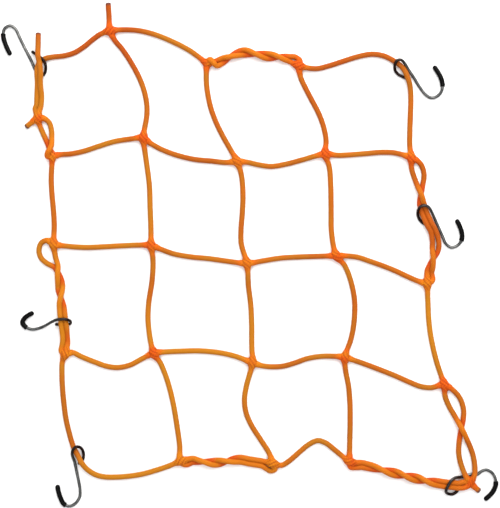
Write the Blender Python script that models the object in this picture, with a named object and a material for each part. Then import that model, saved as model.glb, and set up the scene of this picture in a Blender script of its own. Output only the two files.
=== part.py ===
"""An elastic cargo net that lies flat: three cords pierced through one another, and six wire hooks.

Routes are given in millimetres on a flat sheet: right of its left edge, down from its upper edge, and
the height of the cord's middle above the surface. The part's origin is under the middle knot.
"""
import math

import bmesh
import bpy
import numpy as np

# ------------------------------------------------------------------ driving dimensions, millimetres
CORD_RADIUS = 2.5
WIRE_RADIUS = 1.5
SLEEVE_RADIUS = 2.5
GAP = 0.3                      # between any two pieces that touch
SIDES = 8                      # of every tube, with a flat side down
MIDDLE_KNOT = (246.9, 263.3)   # where the part's origin lies on the sheet
SWELL = 1.84                   # a cord's thickness where another goes through it, against its own
SMALL_SWELL = 1.6              # the same, where the two cords also wind round each other
SWELL_SHAPE = ((0.0, 1.0), (2.0, 1.0), (5.0, 0.54), (9.0, 0.0))   # distance from the knot, share of it
BORE_REACH = 9.0               # how far each side of a knot the hole is cut at least
CALM_RUN = 18.0                # longest straight piece of a cord
WOUND_RUN = 8.0                # the same, where two cords are wound together
SHARP_TURN = math.radians(28)  # most that a cord turns along one straight piece
WIRE_RUN = 18.0
WIRE_TURN = math.radians(32)
SHORTEST_PIECE = 2.2
PAIR_STEP = 4                  # a wound pair's path gives each cord a stop at every 4th point
CROSSING_BLEND = 0.02          # how softly a wound cord comes down off the other, 0 for a sharp edge
WELD = 1e-6                    # metres
SLEEVE_LENGTH = 23.0
TIP_ROUNDING = ((0.0, 1.0, 2.5), (0.5, 0.87, 1.0))   # distance from a sleeve's tip, share of its radius
WIRE_START = 4.0               # how far the wire stays back from the sleeve's tip
TO_METRES = 0.001

FLAT = math.cos(math.pi / SIDES)          # from a tube's middle to its flat side, for a radius of 1
REST = CORD_RADIUS * FLAT                 # height of a cord that lies on the surface
WIRE_REST = WIRE_RADIUS * FLAT
OVER_WIRE = REST + 2 * WIRE_RADIUS + 2 * GAP   # height of a cord that a wire runs under
APART = 2 * CORD_RADIUS + 2 * GAP         # between the middles of two cords wound together

# ------------------------------------------------------------------ knots
# name: right, down, the cord that swells, the cord that goes through it, thickness
KNOTS = {
    "top_1": (110.6, 31.4, "border", "column", SWELL),
    "top_2": (207.5, 63.6, "border", "column", SMALL_SWELL),
    "top_3": (298.8, 66.4, "border", "column", SWELL),
    "row_1_left": (52.6, 156.4, "border", "row", SMALL_SWELL),
    "row_1_1": (143.7, 138.3, "column", "row", SWELL),
    "row_1_2": (237.2, 161.8, "column", "row", SWELL),
    "row_1_3": (325.0, 154.2, "column", "row", SWELL),
    "row_1_right": (410.8, 158.0, "border", "row", SWELL),
    "row_2_left": (54.3, 244.0, "border", "row", SWELL),
    "row_2_1": (151.5, 245.5, "column", "row", SWELL),
    "row_2_2": (*MIDDLE_KNOT, "column", "row", SWELL),
    "row_2_3": (336.2, 255.7, "column", "row", SWELL),
    "row_2_right": (426.8, 283.0, "border", "row", SWELL),
    "row_3_left": (65.8, 353.6, "border", "row", SWELL),
    "row_3_1": (154.0, 352.8, "column", "row", SWELL),
    "row_3_2": (252.4, 362.3, "column", "row", SWELL),
    "row_3_3": (344.6, 357.0, "column", "row", SWELL),
    "row_3_right": (443.8, 384.4, "border", "row", SWELL),
    "bottom_1": (180.8, 460.4, "border", "column", SWELL),
    "bottom_2": (272.8, 462.8, "border", "column", SWELL),
    "bottom_3": (349.5, 461.0, "border", "column", SWELL),
    "row_start": (38.3, 118.4, "border", "row", SWELL),
    "row_end": (469.7, 481.9, "border", "row", SMALL_SWELL),
}

# ------------------------------------------------------------------ pairs of cords wound together
# Each row: right, down, turn of the pair in degrees, distance between the two middles, lift of both.
# At a turn of 0 the pair's first cord is on the left of its way, at 90 on top, at 180 on the right.
PAIRS = {
    "corner": (
        (40.2, 62.0, 90, 6.6, 0.0),
        (39.8, 68.0, 50, APART, 2.8),
        (39.8, 74.0, 35, APART, 3.5),
        (39.6, 81.0, 45, APART, 1.2),
        (39.6, 89.0, 35, APART, 0.0),
        (39.7, 98.0, 8, APART, 0.0),
        (39.2, 106.0, 15, APART, 0.0),
    ),
    "left": (
        (56.9, 267.0, 35, APART, 0.0),
        (58.8, 274.0, 100, APART, 0.0),
        (60.4, 282.0, 150, APART, 0.0),
        (60.7, 290.0, 205, APART, 0.0),
        (61.3, 298.0, 270, APART, 0.0),
        (62.3, 307.0, 335, APART, 1.2),
        (63.8, 319.0, 352, APART, 3.5),
        (64.7, 326.0, 352, APART, 3.5),
        (65.5, 336.5, 330, APART, 0.5),
        (65.6, 344.0, 345, 6.0, 0.0),
    ),
    "bottom_left": (
        (193.0, 459.9, 25, APART, 0.0),
        (205.0, 461.2, 90, APART, 0.0),
        (216.0, 462.2, 170, APART, 0.0),
        (228.0, 460.3, 270, APART, 0.0),
        (240.0, 459.3, 350, APART, 0.0),
        (252.0, 461.6, 360, 5.9, 0.0),
    ),
    "bottom_right": (
        (362.0, 464.6, 0, APART, 0.0),
        (372.0, 466.7, 25, APART, 0.0),
        (383.0, 469.6, 90, APART, 0.0),
        (394.0, 472.6, 170, APART, 0.0),
        (405.0, 475.2, 270, APART, 0.0),
        (415.0, 477.8, 350, APART, 0.0),
        (426.0, 480.4, 450, APART, 0.0),
        (437.0, 482.6, 530, APART, 0.0),
        (446.0, 484.0, 540, APART, 0.0),
        (450.5, 484.3, 540, APART, 0.7),
        (458.6, 484.7, 540, APART, 3.5),
    ),
    "right": (
        (429.0, 272.0, 0, APART, 0.0),
        (432.4, 259.5, -90, APART, 0.0),
        (435.2, 247.5, -175, 7.2, 0.0),
        (434.8, 239.5, -180, 6.8, 0.8),
        (432.4, 231.0, -180, APART, 2.4),
        (428.8, 224.5, -180, APART, 3.5),
        (424.6, 214.5, -180, APART, 1.4),
        (422.9, 209.0, -188, APART, 0.2),
        (421.3, 203.5, -215, APART, 0.0),
        (420.6, 195.0, -270, APART, 0.0),
        (419.8, 187.0, -340, APART, 0.0),
    ),
    "top": (
        (289.0, 59.2, 0, APART, 0.0),
        (278.0, 57.4, 90, APART, 0.0),
        (267.0, 56.4, 180, 5.9, 0.0),
        (254.5, 54.4, 270, APART, 0.0),
        (243.0, 52.9, 360, 5.9, 0.0),
        (229.5, 57.6, 450, APART, 0.0),
        (221.0, 61.8, 535, APART, 0.0),
    ),
}

# ------------------------------------------------------------------ routes of the cords
# A stop is (right, down), lying on the surface, or (right, down, height); a name is a knot of the
# table above; (pair, cord, way) follows a pair as its cord 0 or 1, on its way 1 or back along it -1.
BORDER_ROUTE = (
    (38.9, 33.6, 4.2), (39.3, 45.0, 7.4), (39.5, 56.5, 10.9),
    ("corner", 0, 1), "row_start",
    (40.4, 126.5), (43.8, 134.5), (48.0, 144.0), "row_1_left",
    (52.2, 165.0), (51.6, 178.0), (52.2, 193.0), (53.7, 209.0), (54.6, 225.0), "row_2_left",
    (55.4, 255.0), ("left", 0, 1), "row_3_left",
    (62.8, 361.0), (62.2, 372.0), (62.8, 387.0), (64.0, 401.0), (66.2, 418.0), (69.4, 432.0),
    (73.8, 446.8), (78.4, 455.0, 4.2), (82.2, 461.9, OVER_WIRE), (87.0, 468.2, 3.9), (94.5, 473.7),
    (104.0, 476.4), (119.0, 476.6), (141.0, 474.0), (157.0, 469.6), (169.5, 465.4), "bottom_1",
    ("bottom_left", 0, 1), (262.5, 460.6), "bottom_2",
    (281.5, 464.9), (288.5, 461.0), (299.0, 452.0), (308.0, 444.6), (317.2, 440.3), (325.5, 442.6),
    (333.5, 448.6), (341.5, 455.2), "bottom_3",
    ("bottom_right", 0, 1), (464.4, 486.4, 5.0), "row_end",
    (473.3, 474.6, OVER_WIRE + GAP), (474.2, 465.0, 3.4), (472.0, 452.5), (466.8, 440.0, 4.2),
    (461.0, 428.5, 8.1), (455.3, 417.5, 4.2), (448.8, 406.0), (444.8, 396.0), "row_3_right",
    (440.8, 375.0), (437.4, 365.0), (433.6, 351.0), (430.2, 334.0), (428.3, 317.0),
    (427.7, 303.0), "row_2_right",
    ("right", 0, 1), (414.0, 177.5), (411.4, 169.0), "row_1_right",
    (409.6, 146.0), (409.6, 132.0), (410.1, 117.0), (410.6, 101.0), (409.9, 88.5, 3.4),
    (407.6, 79.7, OVER_WIRE), (402.4, 68.4, 3.6), (394.4, 61.7), (384.0, 56.4), (372.0, 54.5),
    (357.5, 57.0), (343.0, 61.5), (329.0, 66.0), (316.0, 68.9), "top_3",
    ("top", 0, 1), (214.5, 61.8), "top_2",
    (199.5, 57.8), (190.0, 51.0), (177.0, 44.0), (161.0, 37.0), (146.0, 32.3), (131.0, 30.2), "top_1",
    (101.5, 34.0), (94.0, 39.0), (85.0, 46.5), (75.0, 52.8), (65.0, 55.9), (54.0, 57.2), (47.0, 58.4),
    ("corner", 1, 1), (35.5, 108.8),
)
COLUMN_ROUTE = (
    (108.4, 3.3, 3.0), (109.2, 15.0), "top_1",
    (114.9, 40.5), (122.5, 49.6), (132.0, 64.0), (140.8, 81.0), (145.9, 97.5), (147.2, 113.0), "row_1_1",
    (145.2, 152.0), (147.2, 166.0), (149.6, 186.0), (150.3, 207.0), (151.1, 229.0), "row_2_1",
    (153.2, 261.0), (152.2, 281.0), (148.8, 304.0), (148.5, 324.0), "row_3_1",
    (160.6, 363.0), (167.4, 380.0), (173.3, 403.0), (177.2, 426.0), (179.8, 445.0), "bottom_1",
    (187.0, 464.3), ("bottom_left", 1, 1), (257.5, 464.9), (262.0, 465.8), (266.4, 468.3), (270.5, 470.6),
    (274.6, 469.0), "bottom_2", (269.0, 452.6), (260.4, 439.0), (251.2, 424.5), (246.0, 412.0),
    (244.5, 399.0), (246.4, 386.0),
    "row_3_2", (251.8, 347.0), (251.7, 325.0), (250.7, 304.0), (248.6, 287.0), "row_2_2",
    (241.4, 244.0), (241.0, 231.0), (242.4, 212.0), (243.0, 195.0), (241.4, 175.0), "row_1_2",
    (231.0, 150.5), (225.0, 140.0), (217.5, 125.5), (211.5, 110.0), (208.0, 95.0), (206.4, 80.0), "top_2",
    (210.2, 60.9, 6.6), (212.4, 62.3, 8.0), (214.4, 64.6, 8.0), (217.0, 66.5, 5.2),
    ("top", 1, -1), (295.6, 57.4), (299.4, 61.2, 3.2), "top_3",
    (300.4, 77.0), (304.8, 87.0), (311.8, 100.5), (318.8, 114.0), (323.8, 128.0), (326.0, 141.0),
    "row_1_3", (329.2, 167.0), (330.6, 186.0), (331.0, 207.0), (331.6, 234.0), "row_2_3",
    (344.2, 265.0), (350.4, 280.0), (354.4, 300.0), (354.0, 321.0), (350.8, 339.0), "row_3_3",
    (345.6, 371.0), (348.3, 385.0), (349.8, 403.0), (350.0, 424.0), (349.6, 443.0), "bottom_3",
    (350.8, 466.3, 3.4), (355.6, 467.3), ("bottom_right", 1, 1), (462.2, 481.2, 5.6),
)
ROW_ROUTE = (
    (26.0, 127.4), (31.0, 123.6, 3.2), "row_start",
    (44.8, 118.9, 3.4), (49.6, 123.0), (52.0, 131.0, 3.2), (52.4, 139.0, 4.6), (52.4, 145.6, 7.0),
    (50.9, 150.2, 9.7), (48.8, 153.3, 9.0), (48.9, 156.6, 5.4), "row_1_left",
    (60.0, 154.8), (71.0, 154.0), (84.6, 151.1), (97.6, 146.8), (114.0, 141.8), (130.0, 139.2), "row_1_1",
    (151.0, 143.6), (161.0, 149.2), (176.0, 155.0), (194.0, 159.4), (212.0, 161.2), (226.0, 162.6),
    "row_1_2", (248.0, 162.5), (257.5, 164.7), (271.0, 166.5), (286.5, 164.1), (302.0, 160.0), "row_1_3",
    (337.0, 155.4), (349.0, 155.0), (366.7, 153.6), (382.0, 152.4), (395.5, 153.2), "row_1_right",
    (417.6, 161.4, 3.2), (421.8, 166.6), (423.8, 175.0),
    ("right", 1, -1), (432.2, 279.4, 3.0), "row_2_right",
    (419.0, 281.4, 3.0), (407.5, 276.6), (395.0, 270.7), (382.4, 265.7), (370.0, 261.3), (356.0, 256.9),
    "row_2_3", (322.0, 256.2), (302.0, 256.8), (281.0, 258.0), (264.0, 260.6), "row_2_2",
    (232.0, 261.8), (225.0, 260.8), (208.0, 258.5), (192.0, 257.0), (174.7, 254.0), (163.0, 250.0),
    "row_2_1", (138.0, 245.1), (125.0, 245.6), (108.0, 246.5), (87.0, 247.4), (69.5, 246.4), "row_2_left",
    (47.4, 240.4, 3.2), (41.6, 243.0), (39.3, 250.4), (41.4, 257.8), (46.6, 262.8),
    ("left", 1, 1), (62.2, 350.6, 3.4), "row_3_left",
    (73.0, 352.4, 3.0), (82.0, 356.6), (95.4, 362.0), (107.0, 366.0), (118.0, 367.3), (130.0, 364.9),
    (141.0, 359.2), "row_3_1", (167.0, 351.6), (181.0, 351.0), (200.0, 350.7), (220.0, 352.6),
    (236.0, 356.3), "row_3_2", (264.0, 365.9), (281.0, 366.2), (293.5, 363.1), (306.7, 358.5),
    (322.0, 356.1), "row_3_3", (355.5, 360.6), (366.0, 364.3), (381.0, 370.0), (396.5, 376.2),
    (409.0, 381.8), (420.0, 386.1), (430.5, 387.4), "row_3_right",
    (453.0, 390.2, 3.0), (459.6, 398.0), (463.2, 409.0), (462.9, 419.0), (461.0, 428.5), (459.0, 440.0),
    (458.4, 452.5), (460.6, 464.0, 3.4), (464.9, 475.2, OVER_WIRE + GAP), "row_end",
    (475.0, 487.2), (479.4, 491.0),
)

# ------------------------------------------------------------------ hooks
# Each wire from its tip, round its open bend and along its shank to its eye, as (right, down) lying on
# the surface or (right, down, height). The eye goes over the rim's cord, down, and back under it.
HOOKS = (
    (  # upper left
        (11.2, 55.6), (8.0, 49.6), (5.2, 42.6), (3.6, 35.2), (5.0, 28.8), (10.2, 26.0), (15.4, 28.8),
        (19.6, 37.0), (24.2, 46.6), (28.6, 55.3), (32.2, 62.5), (35.2, 69.5), (39.2, 75.0),
        (43.6, 75.2, 1.8), (46.2, 70.8, 3.8), (46.2, 65.0, 6.2), (43.8, 60.4, 7.3), (39.4, 56.9, 5.2),
        (35.6, 54.2, 3.2), (32.0, 51.6, 1.9),
    ),
    (  # upper right
        (433.2, 66.2), (436.6, 71.0), (440.4, 77.8), (442.2, 85.2), (441.0, 92.0), (436.6, 96.6),
        (431.2, 98.0), (425.8, 95.2), (419.8, 87.8), (413.4, 77.3), (408.4, 70.4, 3.0),
        (404.2, 64.4, 5.8), (400.4, 61.0, 7.6), (396.5, 61.4, 8.0), (394.2, 65.2, 7.2),
        (394.8, 70.6, 3.0), (398.4, 74.8), (403.6, 77.4), (409.0, 79.7),
    ),
    (  # right, in the middle
        (455.8, 219.4), (458.8, 225.0), (461.2, 231.6), (461.6, 238.8), (458.0, 244.8), (451.2, 247.4),
        (445.8, 243.8), (442.4, 236.4), (438.8, 228.4), (434.8, 219.8, 3.0), (431.0, 212.2, 5.8),
        (427.8, 207.6, 8.4), (423.4, 205.8, 9.4), (419.2, 207.2, 8.6), (417.2, 211.4, 6.0),
        (417.8, 216.6, 2.8), (421.0, 221.6), (425.8, 224.8), (431.6, 227.0),
    ),
    (  # lower right
        (483.8, 499.6), (488.6, 495.6), (493.0, 490.4), (495.4, 484.0), (494.8, 477.6), (491.2, 472.0),
        (485.8, 469.6), (481.0, 471.2), (477.0, 474.2), (471.4, 473.9), (465.4, 475.6), (460.0, 476.8, 1.9),
        (454.6, 476.9, 5.3), (450.4, 479.0, 7.9), (447.6, 483.6, 7.3), (445.4, 488.2, 7.0),
        (445.6, 491.6, 4.2), (448.6, 493.6, 2.0), (452.6, 493.8), (456.6, 491.2), (458.8, 486.6),
        (459.2, 482.0),
    ),
    (  # lower left
        (57.6, 484.3), (58.9, 491.6), (61.2, 498.4), (64.4, 503.8), (69.8, 505.8), (75.4, 503.2),
        (79.8, 496.8), (80.3, 489.6), (78.9, 481.0), (76.8, 471.0), (74.8, 461.6, 1.6), (72.9, 454.4, 4.8),
        (73.6, 449.2, 7.2), (76.6, 446.0, 7.6), (80.2, 446.3, 5.8), (82.7, 449.4, 3.0), (83.8, 453.6),
        (83.4, 458.0), (81.2, 461.5), (78.4, 463.8),
    ),
    (  # left, in the middle
        (34.2, 312.4), (29.2, 314.8), (24.8, 318.2), (22.8, 322.4), (26.2, 327.0), (32.6, 329.2),
        (39.6, 328.0), (46.8, 324.9, 3.8), (52.6, 321.6, 7.6), (57.8, 319.4, 10.6), (63.2, 318.6, 11.4),
        (68.2, 319.0, 10.8), (71.2, 320.8, 7.6), (70.6, 323.6, 3.2), (66.0, 324.5), (60.4, 324.5),
        (55.4, 324.2),
    ),
)

ORANGE = (0.83, 0.235, 0.045, 1.0)
STEEL = (0.10, 0.105, 0.105, 1.0)
BLACK = (0.008, 0.008, 0.009, 1.0)


# ------------------------------------------------------------------ curves
def smooth_path(stops, across):
    """A smooth curve through the stops, about one point a millimetre, and each stop's place on it.

    It is a centripetal Catmull-Rom curve. The first `across` columns are the place, and the others follow.
    """
    stops = np.array(stops, float)
    ends = np.vstack([2 * stops[0] - stops[1], stops, 2 * stops[-1] - stops[-2]])
    change = np.diff(ends, axis=0)
    run = np.linalg.norm(change[:, :across], axis=1)
    time = np.sqrt(run)[:, None]
    across_both = (ends[2:] - ends[:-2]) / (time[:-1] + time[1:])
    slope = change[:-1] / time[:-1] - across_both + change[1:] / time[1:]
    points = []
    places = []
    for i in range(len(stops) - 1):
        places.append(len(points))
        start, end = stops[i], stops[i + 1]
        leave, arrive = slope[i] * time[i + 1], slope[i + 1] * time[i + 1]
        for u in np.linspace(0, 1, max(round(run[i + 1]), 2), endpoint=False):
            points.append(
                (2 * u**3 - 3 * u**2 + 1) * start + (u**3 - 2 * u**2 + u) * leave
                + (3 * u**2 - 2 * u**3) * end + (u**3 - u**2) * arrive
            )
    places.append(len(points))
    points.append(stops[-1])
    return np.array(points), places


def distances(points):
    """The distance along a path at each of its points."""
    return np.concatenate([[0.0], np.cumsum(np.linalg.norm(np.diff(points, axis=0), axis=1))])


def pair_stops(name, cord, way):
    """The stops of one cord of a wound pair, as (right, down, height)."""
    dense, _ = smooth_path([(*row[:2], *row[2:]) for row in PAIRS[name]], 2)
    heading = np.gradient(dense[:, :2], axis=0)
    heading /= np.linalg.norm(heading, axis=1)[:, None]
    left = np.stack([heading[:, 1], -heading[:, 0]], axis=1)      # down is positive on the sheet
    turn = np.radians(dense[:, 2])
    side = 1 if cord == 0 else -1
    rise = side * np.sin(turn)
    above = (rise + np.sqrt(rise**2 + CROSSING_BLEND)) / 2        # 0 for the lower cord, 1 for the upper
    place = dense[:, :2] + left * (side * dense[:, 3] / 2 * np.cos(turn))[:, None]
    height = REST + dense[:, 4] + dense[:, 3] * above
    stops = np.column_stack([place, height])[::PAIR_STEP]
    return [tuple(stop) for stop in stops[::way]]


def route_stops(route):
    """A route's stops with their heights, the knots among them, and which stops are in a wound pair."""
    stops = []
    knots = {}
    wound = set()
    for item in route:
        if isinstance(item, str):
            right, down, _, _, swell = KNOTS[item]
            knots[item] = len(stops)
            stops.append((right, down, CORD_RADIUS * swell * FLAT))
        elif isinstance(item[0], str):
            strand = pair_stops(*item)
            wound.update(range(len(stops), len(stops) + len(strand)))
            stops += strand
        else:
            stops.append((*item, REST)[:3])
    return stops, knots, wound


def thinned(points, kept, turn, run):
    """Which points of a dense path a chain of straight pieces needs, with the kept ones among them.

    A piece ends when its length, as a share of run, and its turning, as a share of turn, come to 1.
    """
    way = np.diff(points, axis=0)
    length = np.linalg.norm(way, axis=1)
    way /= length[:, None]
    bend = np.arccos(np.clip(np.sum(way[:-1] * way[1:], axis=1), -1, 1))
    spent = np.concatenate([[0.0], np.cumsum(length / run)])
    spent[2:] += np.cumsum(bend) / turn
    along = distances(points)
    kept = sorted(set(kept) | {0, len(points) - 1})
    chosen = []
    for start, end in zip(kept, kept[1:]):
        chosen.append(start)
        for i in range(start + 1, end):
            room = min(along[i] - along[chosen[-1]], along[end] - along[i])
            if spent[i] - spent[chosen[-1]] >= 1 and room >= SHORTEST_PIECE:
                chosen.append(i)
    return chosen + [kept[-1]]


def cord_chain(cord, route):
    """A cord's straight pieces: its points, its radius at each, and the place of each knot among them."""
    stops, knots, wound = route_stops(route)
    points, places = smooth_path(stops, 3)
    along = distances(points)
    radius = np.full(len(points), CORD_RADIUS)
    kept = set()
    run = np.full(len(points) - 1, CALM_RUN)
    for i in wound:
        run[places[i]:places[min(i + 1, len(places) - 1)]] = WOUND_RUN
    knot_places = {}
    for name, stop in knots.items():
        middle = along[places[stop]]
        knot_places[name] = middle
        if KNOTS[name][2] == cord:
            reach, share = zip(*SWELL_SHAPE)
            swell = 1 + (KNOTS[name][4] - 1) * np.interp(np.abs(along - middle), reach, share)
            radius = np.maximum(radius, CORD_RADIUS * swell)
            marks = [middle + side * step for step in reach[1:] for side in (-1, 1)]
            kept.update(np.searchsorted(along, [mark for mark in marks if 0 < mark < along[-1]]))
        else:
            kept.add(places[stop])
    points[:, 2] = np.maximum(points[:, 2], radius * FLAT)
    chosen = thinned(points, kept, SHARP_TURN, run)
    return points[chosen], radius[chosen], along[chosen], knot_places


def on_sheet(point):
    """A point of the sheet, in the part's own frame, in metres."""
    right, down, height = point
    return ((right - MIDDLE_KNOT[0]) * TO_METRES, (MIDDLE_KNOT[1] - down) * TO_METRES, height * TO_METRES)


# ------------------------------------------------------------------ objects
def collection(name):
    made = bpy.data.collections.new(name)
    bpy.context.scene.collection.children.link(made)
    return made


def finish(name, color, roughness, metallic):
    """A plain material with the part's colour."""
    material = bpy.data.materials.new(name)
    material.use_nodes = True
    shader = material.node_tree.nodes["Principled BSDF"]
    shader.inputs["Base Color"].default_value = color
    shader.inputs["Roughness"].default_value = roughness
    shader.inputs["Metallic"].default_value = metallic
    return material


def tube(name, chains, group, material=None):
    """A curve object with a tube along each chain of (points, radii), a flat side down."""
    curve = bpy.data.curves.new(name, "CURVE")
    curve.dimensions = "3D"
    curve.twist_mode = "Z_UP"
    curve.bevel_depth = TO_METRES
    curve.bevel_resolution = SIDES // 2 - 2
    curve.render_resolution_u = 0
    curve.use_fill_caps = True
    for points, radii in chains:
        spline = curve.splines.new("POLY")
        spline.points.add(len(points) - 1)
        for place, point, radius in zip(spline.points, points, radii):
            place.co = (*on_sheet(point), 1.0)
            place.radius = radius
            place.tilt = math.pi / SIDES
    made = bpy.data.objects.new(name, curve)
    group.objects.link(made)
    if material:
        curve.materials.append(material)
    return made


def as_mesh(curve_object):
    """The same tube as a mesh with its caps welded on; the curve is removed."""
    name, group = curve_object.name, curve_object.users_collection[0]
    place = curve_object.matrix_world.copy()
    evaluated = curve_object.evaluated_get(bpy.context.evaluated_depsgraph_get())
    mesh = bpy.data.meshes.new_from_object(evaluated)
    bpy.data.objects.remove(curve_object)
    shape = bmesh.new()
    shape.from_mesh(mesh)
    bmesh.ops.remove_doubles(shape, verts=shape.verts, dist=WELD)
    bmesh.ops.recalc_face_normals(shape, faces=shape.faces)
    shape.to_mesh(mesh)
    shape.free()
    made = bpy.data.objects.new(name, mesh)
    made.matrix_world = place
    group.objects.link(made)
    return made


def cut(target, cutter):
    """Takes the cutter's shape out of the target, and leaves the cutter unseen."""
    cutter.hide_render = True
    cutter.display_type = "WIRE"
    boolean = target.modifiers.new("hole", "BOOLEAN")
    boolean.operation = "DIFFERENCE"
    boolean.object = cutter


def make_cords(group, cutters, material):
    """The three cords, each with the holes that the others go through."""
    routes = {"border": BORDER_ROUTE, "column": COLUMN_ROUTE, "row": ROW_ROUTE}
    chains = {cord: cord_chain(cord, route) for cord, route in routes.items()}
    for cord, (points, radii, _, _) in chains.items():
        made = tube(f"{cord}_cord", [(points, radii)], group, material)
        holes = []
        for name, (_, _, swollen, passing, _) in KNOTS.items():
            if swollen == cord:
                other, _, along, places = chains[passing]
                first, last = np.searchsorted(along, (places[name] - BORE_REACH, places[name] + BORE_REACH))
                bore = other[max(first - 1, 0):last + 1]
                holes.append((bore, np.full(len(bore), CORD_RADIUS + GAP)))
        if holes:
            made = as_mesh(made)
            cut(made, as_mesh(tube(f"{cord}_holes", holes, cutters)))


def make_hooks(group, cutters, steel, plastic):
    """The wire hooks, each with a sleeve over its tip."""
    for number, stops in enumerate(HOOKS, 1):
        points, _ = smooth_path([(*stop, WIRE_REST)[:3] for stop in stops], 3)
        along = distances(points)
        settling = (SLEEVE_LENGTH, SLEEVE_LENGTH + WIRE_RUN)
        floor = np.interp(along, settling, (SLEEVE_RADIUS * FLAT, WIRE_REST))
        points[:, 2] = np.maximum(points[:, 2], floor)
        marks = (*TIP_ROUNDING[0], WIRE_START - GAP, WIRE_START, SLEEVE_LENGTH)
        chosen = thinned(points, np.searchsorted(along, marks), WIRE_TURN, WIRE_RUN)
        points, along = points[chosen], along[chosen]
        sleeve_end = np.searchsorted(along, SLEEVE_LENGTH) + 1
        in_bore = (along >= WIRE_START - GAP) & (along <= SLEEVE_LENGTH + WIRE_RUN)
        in_wire = along >= WIRE_START
        wire = [(points[in_wire], np.full(in_wire.sum(), WIRE_RADIUS))]
        tube(f"hook_{number}_wire", wire, group, steel)
        sleeve_radii = SLEEVE_RADIUS * np.interp(along[:sleeve_end], *TIP_ROUNDING)
        sleeve = [(points[:sleeve_end], sleeve_radii)]
        sleeve = as_mesh(tube(f"hook_{number}_sleeve", sleeve, group, plastic))
        bore = [(points[in_bore], np.full(in_bore.sum(), WIRE_RADIUS + GAP))]
        cut(sleeve, as_mesh(tube(f"hook_{number}_bore", bore, cutters)))


def main():
    for old in list(bpy.data.objects):
        bpy.data.objects.remove(old)
    group = collection("cargo_net")
    cutters = collection("cutters")
    make_cords(group, cutters, finish("orange_cord", ORANGE, 0.75, 0.0))
    steel = finish("dark_steel", STEEL, 0.35, 1.0)
    plastic = finish("black_plastic", BLACK, 0.3, 0.0)
    make_hooks(group, cutters, steel, plastic)


main()
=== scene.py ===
# %% [markdown]
# # An elastic cargo net with wire hooks
# The net is three long elastic cords. One runs round the rim, one goes up and down as the columns, and
# one goes to and fro as the rows. There are no tied knots: where two cords meet, the braid of one is
# opened and the other is pulled through it. Six hooks of bent steel wire, each with a plastic sleeve on
# its tip, hang on the rim.
#
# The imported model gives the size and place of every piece. This script makes the same pieces again with
# the finish of the real ones, and hides the plain ones.

# %% Load the frame
import math

import bmesh
import bpy
import numpy as np
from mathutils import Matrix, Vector


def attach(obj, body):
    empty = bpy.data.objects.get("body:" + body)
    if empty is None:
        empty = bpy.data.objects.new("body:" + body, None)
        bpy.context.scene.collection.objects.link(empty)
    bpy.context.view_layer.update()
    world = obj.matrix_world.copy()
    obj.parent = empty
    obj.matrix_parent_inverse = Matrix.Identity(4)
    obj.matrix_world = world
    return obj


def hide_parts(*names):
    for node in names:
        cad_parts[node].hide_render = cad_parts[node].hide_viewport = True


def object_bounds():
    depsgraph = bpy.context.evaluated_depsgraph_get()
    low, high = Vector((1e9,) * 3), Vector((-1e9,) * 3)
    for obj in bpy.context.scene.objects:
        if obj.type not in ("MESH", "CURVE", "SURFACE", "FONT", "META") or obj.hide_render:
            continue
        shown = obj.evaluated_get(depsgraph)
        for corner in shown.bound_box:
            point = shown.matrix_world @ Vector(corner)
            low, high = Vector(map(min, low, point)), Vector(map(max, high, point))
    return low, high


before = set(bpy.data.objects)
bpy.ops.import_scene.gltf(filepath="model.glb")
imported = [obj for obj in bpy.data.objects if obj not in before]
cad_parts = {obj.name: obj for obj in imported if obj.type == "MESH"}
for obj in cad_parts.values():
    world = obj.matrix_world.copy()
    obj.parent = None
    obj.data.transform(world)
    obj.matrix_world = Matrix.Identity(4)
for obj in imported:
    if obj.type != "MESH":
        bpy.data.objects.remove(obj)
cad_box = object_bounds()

print("nodes:", ", ".join(sorted(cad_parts)))

# %% [markdown]
# ## Sizes
# The real net is about 400 mm across. Its cord is 5 mm thick, the hooks are of 3 mm wire, and their
# sleeves are 5 mm thick. All sizes are in millimetres, and one function turns them into metres. What
# changes along a cord or a wire is a table of (distance, value), which a second function reads.

# %% Sizes, in millimetres
MM = 0.001
CORD_RADIUS = 2.5
WIRE_RADIUS = 1.5
SLEEVE_RADIUS = 2.5
SLEEVE_LENGTH = 23.0
GAP = 0.3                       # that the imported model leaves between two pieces
REST = 2.31                     # height of a soft cord's middle where it lies on the floor
OVER_WIRE = REST + 2 * WIRE_RADIUS + 2 * GAP    # and where it lies over a wire
APART = 2 * CORD_RADIUS + 2 * GAP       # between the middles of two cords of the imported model
SWELL = 1.84                    # how many times thicker a cord is where another goes through it
SMALL_SWELL = 1.6
MIDDLE_KNOT = (246.9, 263.3)


def in_frame(points):
    """Points of the sheet (right, down, height, in millimetres) in the part's own frame, in metres."""
    right, down, height = np.asarray(points, float).T
    return np.stack([right - MIDDLE_KNOT[0], MIDDLE_KNOT[1] - down, height], axis=1) * MM


def by_table(distance, table):
    """The value that a table of (distance, value) gives at a distance."""
    return np.interp(distance, *zip(*table))


low, high = cad_box
print("the packed net is %.0f x %.0f x %.1f mm" % tuple((b - a) / MM for a, b in zip(low, high)))
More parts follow.
